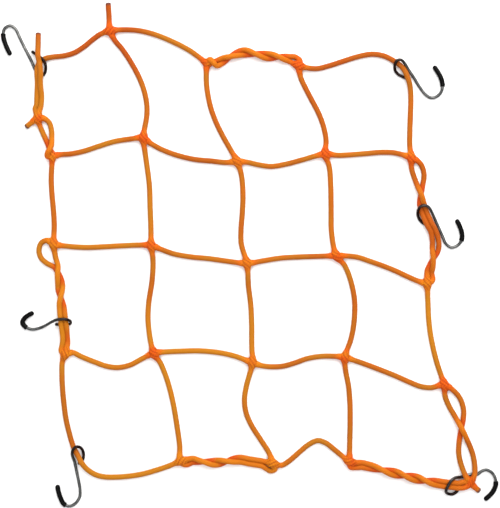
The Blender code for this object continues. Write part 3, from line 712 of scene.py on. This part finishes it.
def patches(tree, scale, start, full, low=0.0, high=1.0, detail=3.0, stretch=(1, 1, 1)):
    """Soft-edged patches: low where a noise is under start, and high where it is over full."""
    return spread(tree, noise(tree, scale, detail, stretch=stretch), start, full, low, high)


def marked(tree, mark, full=1.0, share=1.0):
    """A mark's share: nothing where the mark is 0, and all of the share where it is full."""
    return spread(tree, attribute(tree, mark), 0.0, full, 0.0, share)


print("made six helpers for patterns")

# %% Helpers for colours, bumps and a shader's numbers
MIX_SHARE, MIX_FIRST, MIX_SECOND, MIX_RESULT = 0, 6, 7, 2     # a Mix node's sockets for colours


def mixed(tree, share, first, second, blend="MIX"):
    """Two colours mixed; each is a colour or a socket."""
    node = tree.nodes.new("ShaderNodeMix")
    node.data_type = "RGBA"
    node.blend_type = blend
    for number, value in ((MIX_SHARE, share), (MIX_FIRST, first), (MIX_SECOND, second)):
        if isinstance(value, bpy.types.NodeSocket):
            tree.links.new(value, node.inputs[number])
        else:
            node.inputs[number].default_value = value
    return node.outputs[MIX_RESULT]


def bumped(tree, height, distance, strength=1.0, under=None):
    """A bump's normal, over another bump's."""
    node = tree.nodes.new("ShaderNodeBump")
    node.inputs["Strength"].default_value = strength
    node.inputs["Distance"].default_value = distance
    tree.links.new(height, node.inputs["Height"])
    if under:
        tree.links.new(under, node.inputs["Normal"])
    return node.outputs["Normal"]


def finished(shader, finish, **links):
    """Sets the shader's numbers, and links what changes over the surface."""
    for name, value in finish.items():
        shader.inputs[name].default_value = value
    for name, value in links.items():
        shader.id_data.links.new(value, shader.inputs[name.replace("_", " ")])


print("made three helpers for colours, bumps and numbers")

# %% [markdown]
# ### Orange braid
# The yarns are orange, with some stretches more golden and some redder, as the dye took. They are matt
# with a faint sheen, and painted shade darkens the gaps where one yarn dips under another. Near a knot
# the colour is a brighter red, painted bounce light between the two cords, and golden at some listed
# knots. A cord beside another is brightened with painted bounce light, the one beneath gets painted
# shade with red bounce light, and the one on top a golden painted highlight. The folds at a knot get
# painted shade, and the melted ends are brown. The marks for all this come with the cords.

# %% The braid's colours and numbers
ORANGE = (0.44, 0.118, 0.004, 1)
OCHRE = (0.40, 0.138, 0.006, 1)
GOLDEN = (0.46, 0.172, 0.006, 1)
# Painted bounce light that brightens a cord lying beside another.
BESIDE_BOUNCE_LIGHT = (0.57, 0.130, 0.004, 1)
RED = (0.365, 0.064, 0.003, 1)
# Painted bounce light: the brighter red near a knot, where two cords meet.
KNOT_BOUNCE_RED = (0.62, 0.092, 0.002, 1)
# Gold: the golden painted bounce light at some knots, and the painted highlight on a cord over another.
GOLD = (0.60, 0.19, 0.004, 1)
# Painted shade and red bounce light on a cord that lies beneath another.
BENEATH_SHADE_AND_BOUNCE = (0.50, 0.055, 0.002, 1)
SEALED = (0.10, 0.035, 0.03, 1)
# Painted shade in the gaps where one yarn dips under another.
GAP_SHADE = (0.55, 0.38, 0.25, 1)
# Painted shade in the creases and grooves at a knot.
FOLD_SHADE = (0.40, 0.16, 0.07, 1)
# Besides the dye's tone, these paint light: bounce light beside another cord, shade and red bounce light
# beneath one, and a golden highlight on the cord over one.
DYES_AND_PAINTED_LIGHT = (                        # mark, its full value, the share of the colour there, colour
    ("beside", 1.0, 0.85, BESIDE_BOUNCE_LIGHT),
    ("tone", 1.0, 1.0, RED),
    ("tone", -1.0, 1.0, GOLDEN),
    ("beneath", 1.0, 0.85, BENEATH_SHADE_AND_BOUNCE),
    ("beneath", -1.0, 0.4, GOLD),
)
GOLDEN_KNOT_SHARE = 0.6               # of gold at the listed golden knots, in place of the red painted bounce light
# Patches: scale of the noise, where a patch starts and is full, and what it goes from and to.
OCHRE_PATCHES = (30.0, 0.42, 0.60)
RED_PATCHES = (24.0, 0.50, 0.66, 0.0, 0.5)
KNOT_BOUNCE_PATCHES = (75.0, 0.46, 0.66)
BRAID_ROUGHNESS = (900.0, 0.3, 0.7, 0.58, 0.78)
PLAIN_EDGE = 2.0                # detail of the noise for wide patches
FLATTENED = (1, 1, 3)           # so that these patches lie along the net
YARN_EDGE = 0.7                 # the braid's height above which a yarn is out of the painted shade of the gaps
BRAID_FINISH = {"Sheen Weight": 0.04, "Sheen Roughness": 0.45, "Sheen Tint": (1.0, 0.55, 0.2, 1),
                "Specular IOR Level": 0.12}
FILAMENTS = 5                   # that show side by side in one yarn
FLUFF_SCALE = 2600.0
YARN_BUMP = (0.12 * MM,)        # how high, and how strong where it isn't full
FILAMENT_BUMP = (0.02 * MM, 0.6)
FLUFF_BUMP = (0.04 * MM, 0.5)
print("the braid has", len(DYES_AND_PAINTED_LIGHT), "kinds of changed dye and three kinds of bump")


# %% The braid's material
def braid_material():
    material, tree, shader = blank("orange_cord")
    place = tree.nodes.new("ShaderNodeUVMap")
    place.uv_map = "UVMap"
    parts = tree.nodes.new("ShaderNodeSeparateXYZ")
    tree.links.new(place.outputs["UV"], parts.inputs[0])
    height, across = braid(tree, parts.outputs["X"], parts.outputs["Y"])
    color = mixed(tree, patches(tree, *OCHRE_PATCHES, detail=PLAIN_EDGE), ORANGE, OCHRE)
    color = mixed(tree, patches(tree, *RED_PATCHES, detail=PLAIN_EDGE, stretch=FLATTENED), color, RED)
    # These mix in the dye's tones and the painted light beside, beneath and over other cords.
    for mark, full, share, dye in DYES_AND_PAINTED_LIGHT:
        color = mixed(tree, marked(tree, mark, full, share), color, dye)
    # Near a knot the colour is painted bounce light, red or golden.
    knot_bounce = mixed(tree, patches(tree, *KNOT_BOUNCE_PATCHES, detail=PLAIN_EDGE), KNOT_BOUNCE_RED, GOLD)
    knot_bounce = mixed(tree, marked(tree, "loose", share=GOLDEN_KNOT_SHARE), knot_bounce, GOLD)
    color = mixed(tree, attribute(tree, "knot"), color, knot_bounce)
    color = mixed(tree, spread(tree, height, 0.0, YARN_EDGE, 1.0, 0.0), color, GAP_SHADE, "MULTIPLY")
    color = mixed(tree, attribute(tree, "fold_painted_shade"), color, FOLD_SHADE, "MULTIPLY")
    color = mixed(tree, attribute(tree, "sealed"), color, SEALED)
    filaments = calc(tree, "SINE", calc(tree, "MULTIPLY", across, 2 * math.pi * FILAMENTS))
    normal = bumped(tree, height, *YARN_BUMP)
    normal = bumped(tree, filaments, *FILAMENT_BUMP, under=normal)
    normal = bumped(tree, noise(tree, FLUFF_SCALE), *FLUFF_BUMP, under=normal)
    finished(shader, BRAID_FINISH,
             Base_Color=color, Roughness=patches(tree, *BRAID_ROUGHNESS), Normal=normal)
    return material


BRAID = braid_material()
print("made", BRAID.name)

# %% [markdown]
# ### Steel wire and black plastic
# The hooks are of drawn wire, dark from its thin oxide, with faint lines along it and a soft shine.
# Their eyes are given a nearly black colour. The sleeves are deep black plastic with little
# gloss, a slightly wavy skin and a trace of dust.

# %% The metal
STEEL = (0.06, 0.062, 0.062, 1)
WORN_STEEL = (0.15, 0.15, 0.145, 1)
EYE_BLACK = (0.018, 0.010, 0.009, 1)
WORN_PATCHES = (140.0, 0.42, 0.72)
STEEL_ROUGHNESS = (420.0, 0.3, 0.7, 0.26, 0.44)
STEEL_FINISH = {"Metallic": 1.0}
DRAWN_LINES = (3.0, 2.0, "UV", (2.2, 0.05, 1))      # scale, detail, and long along the wire
LINE_BUMP = (0.03 * MM, 0.5)
GRAIN_SCALE = 1500.0
GRAIN_BUMP = (0.02 * MM, 0.4)


def steel_material():
    material, tree, shader = blank("dark_steel")
    color = mixed(tree, patches(tree, *WORN_PATCHES), STEEL, WORN_STEEL)
    color = mixed(tree, attribute(tree, "dark"), color, EYE_BLACK)
    normal = bumped(tree, noise(tree, *DRAWN_LINES), *LINE_BUMP)
    normal = bumped(tree, noise(tree, GRAIN_SCALE), *GRAIN_BUMP, under=normal)
    finished(shader, STEEL_FINISH,
             Base_Color=color, Roughness=patches(tree, *STEEL_ROUGHNESS), Normal=normal)
    return material


WIRE = steel_material()
print("made", WIRE.name)

# %% The plastic
BLACK = (0.001, 0.001, 0.0011, 1)
DUSTY = (0.005, 0.005, 0.0052, 1)
DUST_PATCHES = (700.0, 0.58, 0.72)
DUST_DETAIL = 4.0
PLASTIC_ROUGHNESS = (500.0, 0.3, 0.7, 0.16, 0.32)
PLASTIC_FINISH = {"Specular IOR Level": 0.06}
SKIN_NOISE = (260.0, 1.0)       # scale and detail
SKIN_BUMP = (0.12 * MM, 0.35)


def plastic_material():
    material, tree, shader = blank("black_plastic")
    color = mixed(tree, patches(tree, *DUST_PATCHES, detail=DUST_DETAIL), BLACK, DUSTY)
    normal = bumped(tree, noise(tree, *SKIN_NOISE), *SKIN_BUMP)
    finished(shader, PLASTIC_FINISH,
             Base_Color=color, Roughness=patches(tree, *PLASTIC_ROUGHNESS), Normal=normal)
    return material


PLASTIC = plastic_material()
print("made", PLASTIC.name)

# %% [markdown]
# ## The cords
# The material can't know where a cord lies beside, under or over another, so each point of a path carries
# marks. `beside` is 1 next to another cord, where the material paints bounce light that brightens it.
# `beneath` is 1 under another cord, where it paints shade with red bounce light, and -1 over it, where it
# paints a golden highlight.

# %% Marks where two cords are close
WOUND_NEAR = 5.0                # cords nearer than this press on each other
PAIR_NEAR = 6.0                 # and cords nearer than this are side by side
WOUND_FADE = 2.5                # farther out, on which a mark fades to 0
WOUND_RISE = 3.0                # difference in height at which one cord is fully over the other
WOUND_SOFT = 15                 # points on which a mark changes smoothly


def neighbours(cord):
    """Two marks of a cord: beside another cord, and 1 beneath another cord or -1 over one."""
    own = paths[cord]["points"]
    lean, beside = np.zeros(len(own)), np.zeros(len(own))
    for other_cord, other in paths.items():
        if other_cord == cord:
            continue
        gaps = np.linalg.norm(own[:, None, :2] - other["points"][None, :, :2], axis=2)
        rise = other["points"][gaps.argmin(axis=1), 2] - own[:, 2]
        gap = gaps.min(axis=1)
        share = np.clip(1 - (gap - WOUND_NEAR) / WOUND_FADE, 0, 1)
        lean += share * np.clip(rise / WOUND_RISE, -1, 1)
        beside = np.maximum(beside, np.clip(1 - (gap - PAIR_NEAR) / WOUND_FADE, 0, 1))
    return {"beneath": softened(np.clip(lean, -1, 1), WOUND_SOFT), "beside": softened(beside, WOUND_SOFT)}


marks = {cord: neighbours(cord) for cord in paths}
for cord in marks:
    print(cord, "cord: %.0f%% of it is beside another" % (100 * marks[cord]["beside"].mean()))

# %% [markdown]
# The dye took unevenly in long stretches. `tone` says how, from -1 for golden to 1 for red, by a short
# list of places. Each place counts for the cords that are near it.

# %% Marks for the dye
TONES = (                       # right, down, and the dye there: from -1 for golden to 1 for red
    (78, 50, 1.0), (350, 60, 0.7), (39, 90, -0.6), (52, 200, 0.3), (60, 290, -0.6), (62, 340, -0.9),
    (63, 400, 0.4), (130, 475, -0.8), (220, 462, -0.3), (400, 473, 0.2), (460, 430, 0.2), (433, 325, -1.0),
    (430, 245, 0.7), (420, 190, 0.6), (255, 57, 0.2), (190, 155, 0.4), (200, 352, -0.8), (149, 200, -0.4),
    (243, 205, 0.1), (330, 205, 0.0), (200, 257, 0.1), (382, 265, 0.0), (400, 366, 0.2), (410, 110, 0.3),
)
TONE_REACH = 28.0               # how far a place counts for much
TONE_FAR = 1e-4                 # what even a far place counts for


def tone(points):
    """The dye's tone at each point, from the nearest of the places."""
    right, down, tones = np.array(TONES, float).T
    gaps = np.hypot(points[:, None, 0] - right, points[:, None, 1] - down)
    weights = np.exp(-((gaps / TONE_REACH) ** 2)) + TONE_FAR
    return (weights * tones).sum(axis=1) / weights.sum(axis=1)


for cord, path in paths.items():
    marks[cord]["tone"] = tone(path["points"])
    print("the %s cord's mean tone is %.2f" % (cord, marks[cord]["tone"].mean()))

# %% [markdown]
# Each cord is then swept along its path with the braid's relief and its marks. Three more marks go with
# it: `knot` is 1 near a knot, where the material paints bounce light between the two cords, a second mark
# is 1 at the listed knots where that painted bounce light is golden, and `sealed` is 1 at the melted ends,
# where the cord is a little thicker and rounded off.

# %% Sweep the three cords
YARN_RELIEF = 0.22 * MM
KNOT_REACH = ((0.0, 1.0), (4.5, 0.95), (8.0, 0.45), (13.0, 0.0))
# Knots where the painted bounce light is golden rather than red.
GOLDEN_KNOTS = ("row_1_2", "row_2_left", "row_2_2", "row_2_right",
               "row_3_left", "row_3_2", "bottom_1", "bottom_2")
SEAL_REACH = ((0.0, 1.0), (1.4, 0.9), (3.2, 0.0))
SEAL_SHAPE = ((0.0, 0.55), (0.25, 0.82), (0.7, 1.0), (1.6, 1.05), (3.2, 1.0))


def end_distance(along):
    """How far each point is from the nearer end."""
    return np.minimum(along, along[-1] - along)


def make_cord(cord):
    """One of the three cords, with its braid and marks."""
    points, along = paths[cord]["points"], paths[cord]["along"]
    knot, loose = np.zeros(len(along)), np.zeros(len(along))
    for name, middle in paths[cord]["knots"].items():
        near = by_table(np.abs(along - middle), KNOT_REACH)
        knot = np.maximum(knot, near)
        if name in GOLDEN_KNOTS:
            loose = np.maximum(loose, near)
    sealed = by_table(end_distance(along), SEAL_REACH)
    radius = paths[cord]["radius"] * by_table(end_distance(along), SEAL_SHAPE)
    return swept(cord + "_braid", in_frame(points), radius * MM, CORD_SIDES, BRAID, YARN_RELIEF,
                 knot=knot, loose=loose, sealed=sealed, **marks[cord])


cords = {cord: make_cord(cord) for cord in paths}
for cord, piece in cords.items():
    print(piece.name, "has", len(piece.data.polygons), "faces")

# %% [markdown]
# ## Where a cord goes through another
# The braid parts into an upper and a lower half, and the other cord fills the opening. So the swollen
# cord gets a crease along both flanks that is deepest beside the other cord, and its edges stand up a
# little round it. The parted yarns gather into bundles, with grooves between them and small lumps. This
# is done on the plain mesh: each point near a knot is moved by its distance from the middle of the cord
# that goes through. A mark is 1 in the creases and grooves, where the material paints shade.

# %% Helpers for points
def vertices(mesh):
    """The places of a mesh's points."""
    places = np.empty(len(mesh.vertices) * 3, np.float32)
    mesh.vertices.foreach_get("co", places)
    return places.reshape(-1, 3).astype(float)


def nearest(places, line):
    """The nearest of a line's points to each place, and the distance to it."""
    gaps = np.linalg.norm(places[:, None, :] - line[None, :, :], axis=2)
    best = gaps.argmin(axis=1)
    return line[best], gaps[np.arange(len(places)), best]


print("a cord's mesh has", len(vertices(cords["row"].data)), "points")

# %% Sizes of the creases, lips and bundles
MOUTH_REACH = 12.0 * MM
MOUTH_ALONG = 1.5 * MOUTH_REACH         # the farthest that a point is along its own cord
CREASE_REACH = 8.5 * MM
CREASE_DEPTH = 0.9 * MM
CREASE_WIDTH = 0.9 * MM
LIP_HEIGHT = 0.5 * MM
LIP_WIDTH = 0.9 * MM
LIP_PLACE = (CORD_RADIUS + 0.9) * MM    # from the middle of the cord that goes through
BUNDLES = 6                     # strands of yarns that the parted braid gathers into
BUNDLE_DEPTH = 0.42 * MM
BUNDLE_REACH = ((0.0, 1.0), (4.0, 1.0), (8.5, 0.0))
BUNDLE_TWIST = 0.035            # turns in a millimetre
BUNDLE_BACK = 0.7               # under 1, so that a bundle has a flat back and a narrow groove
LUMP = 0.28 * MM
LUMP_WAVES = (0.9, 0.8, 1.0)    # radians in a millimetre, each way
GROOVE_SHADE = 0.9
CREASE_SHADE = 0.8
print("a bundle turns %.2f times on its way through a knot" % (2 * BUNDLE_TWIST * BUNDLE_REACH[-1][0]))


# %% Part the braid round the cord that goes through
def part_round(cord, piece, places):
    """Moves a cord's points where another cord goes through it, and marks its folds for painted shade."""
    own = in_frame(paths[cord]["points"])
    around, along = column(piece.data, "around"), column(piece.data, "along") / MM
    fold_painted_shade = np.zeros(len(places))
    for name, middle in paths[cord]["knots"].items():
        right, down, swollen, passing, _ = KNOTS[name]
        if swollen != cord:
            continue
        other = paths[passing]
        close = np.abs(other["along"] - other["knots"][name]) < MOUTH_REACH / MM
        center = own[np.abs(paths[cord]["along"] - middle).argmin()]
        chosen = np.flatnonzero((np.linalg.norm(places - center, axis=1) < MOUTH_REACH)
                                & (np.abs(along - middle) < MOUTH_ALONG / MM))
        axis_point, _ = nearest(places[chosen], own)
        _, through_gap = nearest(places[chosen], in_frame(other["points"][close]))
        outward = places[chosen] - axis_point
        outward /= np.linalg.norm(outward, axis=1)[:, None]
        level = np.abs(places[chosen][:, 2] - axis_point[:, 2])
        beside = np.clip((through_gap - CORD_RADIUS * MM) / (CREASE_REACH - CORD_RADIUS * MM), 0, 1)
        crease = (1 - beside) ** 2 * np.exp(-((level / CREASE_WIDTH) ** 2))
        lip = np.exp(-(((through_gap - LIP_PLACE) / LIP_WIDTH) ** 2))
        away = along[chosen] - middle
        near = by_table(np.abs(away), BUNDLE_REACH)
        turns = BUNDLES * (around[chosen] + BUNDLE_TWIST * away) + right
        groove = near * (1 - np.abs(np.sin(math.pi * turns)) ** BUNDLE_BACK)
        wave = places[chosen] / MM * LUMP_WAVES
        lump = near * np.sin(wave[:, 0] + down) * np.sin(wave[:, 1] + right) * np.cos(wave[:, 2])
        move = LIP_HEIGHT * lip - CREASE_DEPTH * crease - BUNDLE_DEPTH * groove + LUMP * lump
        places[chosen] += outward * move[:, None]
        shade = np.clip(GROOVE_SHADE * groove + CREASE_SHADE * crease, 0, 1)
        fold_painted_shade[chosen] = np.maximum(fold_painted_shade[chosen], shade)
    store(piece.data, "fold_painted_shade", fold_painted_shade)
    return places


def lay_down(piece, places):
    """The weight of a cord flattens it a little where it lies on the floor."""
    places[:, 2] = np.maximum(places[:, 2], 0)
    piece.data.vertices.foreach_set("co", places.astype(np.float32).ravel())
    piece.data.update()


for cord, piece in cords.items():
    lay_down(piece, part_round(cord, piece, vertices(piece.data)))
print("parted the braid at", len(KNOTS), "knots")

# %% [markdown]
# ## The hooks
# Each hook is one bent wire. From its tip it makes the open bend that grips a rack, then a straight
# shank, and last a closed eye over and under the rim's cord. The wire's end is cut off and its edge
# dulled, so it is swept with a small chamfer there. The mark `dark` is 1 on the eye.

# %% Bend the wires
WIRE_SIDES = 24
WIRE_STEP = 0.8
WIRE_START = 4.0                # from the sleeve's nose to the wire's end inside it
SETTLE = 18.0                   # the run on which the wire comes down from the sleeve to the floor
CHAMFER = ((0.0, 0.72), (0.35, 1.0))
EYE_DARK = ((0.0, 1.0), (26.0, 1.0), (46.0, 0.0))
BEND_NICKS = 0.02               # how unevenly the bending tool leaves the wire's thickness
SHORT_NICKS = 0.9               # radians in a millimetre
LONG_NICKS = 0.37


def hook_path(stops):
    """A hook's even path from its tip, with its distances."""
    dense, _ = smooth_path([(*stop, WIRE_RADIUS)[:3] for stop in stops], 3)
    points, along = evenly(dense, WIRE_STEP)
    floor = np.interp(along, (SLEEVE_LENGTH, SLEEVE_LENGTH + SETTLE), (SLEEVE_RADIUS, WIRE_RADIUS))
    points[:, 2] = np.maximum(points[:, 2], floor)
    return points, along


def make_wire(number, points, along):
    """A hook's wire, which begins a little inside its sleeve."""
    shown = along >= WIRE_START
    points, along = points[shown], along[shown] - WIRE_START
    uneven = 1 + BEND_NICKS * np.sin(along * SHORT_NICKS + number) * np.sin(along * LONG_NICKS)
    radii = WIRE_RADIUS * uneven * by_table(end_distance(along), CHAMFER)
    dark = by_table(along[-1] - along, EYE_DARK)
    return swept(f"hook_{number}_steel", in_frame(points), radii * MM, WIRE_SIDES, WIRE, dark=dark)


hook_paths = [hook_path(stops) for stops in HOOKS]
wires = [make_wire(number, *path) for number, path in enumerate(hook_paths, 1)]
print("bent", len(wires), "wires, each about %.0f mm long" % np.mean([path[1][-1] for path in hook_paths]))

# %% [markdown]
# ## The sleeves
# A sleeve is a dipped plastic cap on the wire's tip: a round nose, an even wall, and a thicker lip where
# it ends. A sweep can't turn back into itself, so the sleeve is built ring by ring. Its outline is a
# list of (distance from the nose, radius), which goes down the outside, over the lip and back inside.

# %% The sleeve's outline
NOSE_STEPS = 7
NOSE_LENGTH = 0.9               # of the nose, as a share of the sleeve's radius
BODY = 0.96                     # the wall's radius behind the nose, as a share
BODY_GROWTH = 0.03              # what the wall is wider by at its end
BODY_RINGS = np.arange(3.2, SLEEVE_LENGTH - 1.6, 0.8)
LIP = ((1.3, 1.0), (0.6, 1.03), (0.15, 0.97), (0.0, 0.86))      # distance from the end, share
INNER_RADIUS = WIRE_RADIUS + 0.06
INSIDE = ((0.0, 0.35), (0.3, 0.08), (1.2, 0.0), (2.4, 0.0))     # distance from the end, extra radius
OUTSIDE = INNER_RADIUS + 0.5    # rings wider than this are on the outside
SLEEVE_WAVE = 0.05
WAVE_TURN = 0.8                 # radians in a millimetre


def sleeve_outline(number):
    """The (distance, radius) of each ring. The outside waves a little, each sleeve in its own way."""
    turns = np.linspace(0, math.pi / 2, NOSE_STEPS + 1)[1:]
    rings = [(SLEEVE_RADIUS * (1 - math.cos(turn)) * NOSE_LENGTH, SLEEVE_RADIUS * BODY * math.sin(turn))
             for turn in turns]
    rings += [(d, SLEEVE_RADIUS * (BODY + BODY_GROWTH * d / SLEEVE_LENGTH)) for d in BODY_RINGS]
    rings += [(SLEEVE_LENGTH - back, SLEEVE_RADIUS * share) for back, share in LIP]
    rings += [(SLEEVE_LENGTH - back, INNER_RADIUS + extra) for back, extra in INSIDE]
    return [(d, radius + (SLEEVE_WAVE * math.sin(d * WAVE_TURN + number) if radius > OUTSIDE else 0))
            for d, radius in rings]


print("a sleeve has", len(sleeve_outline(1)), "rings")

# %% Build the sleeves
SLEEVE_SIDES = 28


def rings_on(points, along, outline, sides):
    """The rings of an outline swept round a path: for each (distance, radius), a ring of places."""
    heading = np.gradient(points, axis=0)
    heading /= np.linalg.norm(heading, axis=1)[:, None]
    angles = np.linspace(0, 2 * math.pi, sides, endpoint=False)
    rings = []
    for distance, radius in outline:
        middle, ahead = (np.array([np.interp(distance, along, values) for values in line.T])
                         for line in (points, heading))
        side = np.cross(ahead, (0, 0, 1))
        side /= np.linalg.norm(side)
        up = np.cross(side, ahead)
        rings.append(middle + radius * (np.cos(angles)[:, None] * side + np.sin(angles)[:, None] * up))
    return rings


def as_piece(shape, name, material):
    """A finished bmesh as an object."""
    mesh = bpy.data.meshes.new(name)
    shape.to_mesh(mesh)
    shape.free()
    mesh.materials.append(material)
    return put(name, mesh)


def make_sleeve(number, points, along):
    """A hook's sleeve, from a point on its nose to the rings inside it."""
    rings = rings_on(points, along, sleeve_outline(number), SLEEVE_SIDES)
    shape = bmesh.new()
    nose = shape.verts.new(in_frame([points[0]])[0])
    grid = [[shape.verts.new(place) for place in in_frame(ring)] for ring in rings]
    for i in range(SLEEVE_SIDES):
        j = (i + 1) % SLEEVE_SIDES
        shape.faces.new((nose, grid[0][i], grid[0][j]))
        for ring, following in zip(grid, grid[1:]):
            shape.faces.new((ring[i], following[i], following[j], ring[j]))
    shape.faces.new(reversed(grid[-1]))
    bmesh.ops.recalc_face_normals(shape, faces=shape.faces)
    for face in shape.faces:
        face.smooth = True
    return as_piece(shape, f"hook_{number}_cap", PLASTIC)


sleeves = [make_sleeve(number, *path) for number, path in enumerate(hook_paths, 1)]
print("made", len(sleeves), "sleeves with", len(sleeves[0].data.polygons), "faces each")

# %% [markdown]
# ## Every piece rides on the net
# The net has no joints, so there is one body. Each piece stands for the plain node of the imported model.

# %% Ride and replace
for cord, piece in cords.items():
    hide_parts(cord + "_cord")
    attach(piece, "root")
for number, (wire, sleeve) in enumerate(zip(wires, sleeves), 1):
    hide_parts(f"hook_{number}_wire")
    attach(wire, "root")
    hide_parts(f"hook_{number}_sleeve")
    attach(sleeve, "root")
print("pieces:", len(cords) + len(wires) + len(sleeves))

# %% [markdown]
# ## Floor, light and camera
# The net lies on a near-white floor. The light is soft and stronger from the picture's upper side, so
# that every cord has a lighter and a darker side and a faint shadow. The camera looks straight down.

# %% Floor and light
FLOOR_SIZE = 6.0
FLOOR_GAP = 0.2 * MM            # so that no face of the net lies in the floor's own plane
FLOOR_FINISH = {"Base Color": (0.93, 0.93, 0.93, 1), "Roughness": 0.9, "Specular IOR Level": 0.1}
LIGHTS = (                      # name, place, size, power, colour
    ("key", (0.3, 1.1, 1.2), 1.5, 38, (1.0, 0.985, 0.96)),
    ("fill", (-0.1, -0.2, 1.9), 2.2, 22, (0.97, 0.985, 1.0)),
)
SURROUND = 0.62                 # strength of the white light from all round


def make_floor():
    material, _, shader = blank("pale_floor")
    finished(shader, FLOOR_FINISH)
    shape = bmesh.new()
    bmesh.ops.create_grid(shape, x_segments=1, y_segments=1, size=FLOOR_SIZE / 2)
    for corner in shape.verts:
        corner.co.z = -FLOOR_GAP
    piece = as_piece(shape, "floor", material)
    return piece


def add_light(name, place, size, power, color):
    """A soft lamp that looks at the net's middle."""
    light = bpy.data.lights.new(name, "AREA")
    light.size = size
    light.energy = power
    light.color = color
    piece = put(name, light)
    piece.location = place
    piece.rotation_euler = (-Vector(place)).to_track_quat("-Z", "Y").to_euler()
    return piece


make_floor()
for light in LIGHTS:
    add_light(*light)

world = bpy.data.worlds.new("studio")
world.use_nodes = True
world.node_tree.nodes["Background"].inputs["Color"].default_value = (1, 1, 1, 1)
world.node_tree.nodes["Background"].inputs["Strength"].default_value = SURROUND
bpy.context.scene.world = world
bpy.context.scene.view_settings.view_transform = "Standard"
print("set the floor and", len(LIGHTS), "lights")

# %% Camera
PHOTO_SIDE = 0.508              # metres of floor along the picture's longer side
PHOTO_MIDDLE = (250.0, 254.0)
LENS = 100.0
SENSOR = 36.0

camera = bpy.data.cameras.new("camera")
camera.lens = LENS
camera.sensor_width = SENSOR
camera_object = put("camera", camera)
middle = in_frame([(*PHOTO_MIDDLE, 0.0)])[0]
camera_object.location = (middle[0], middle[1], PHOTO_SIDE * LENS / SENSOR)
bpy.context.scene.camera = camera_object
print("the camera is %.2f m above the floor" % camera_object.location.z)
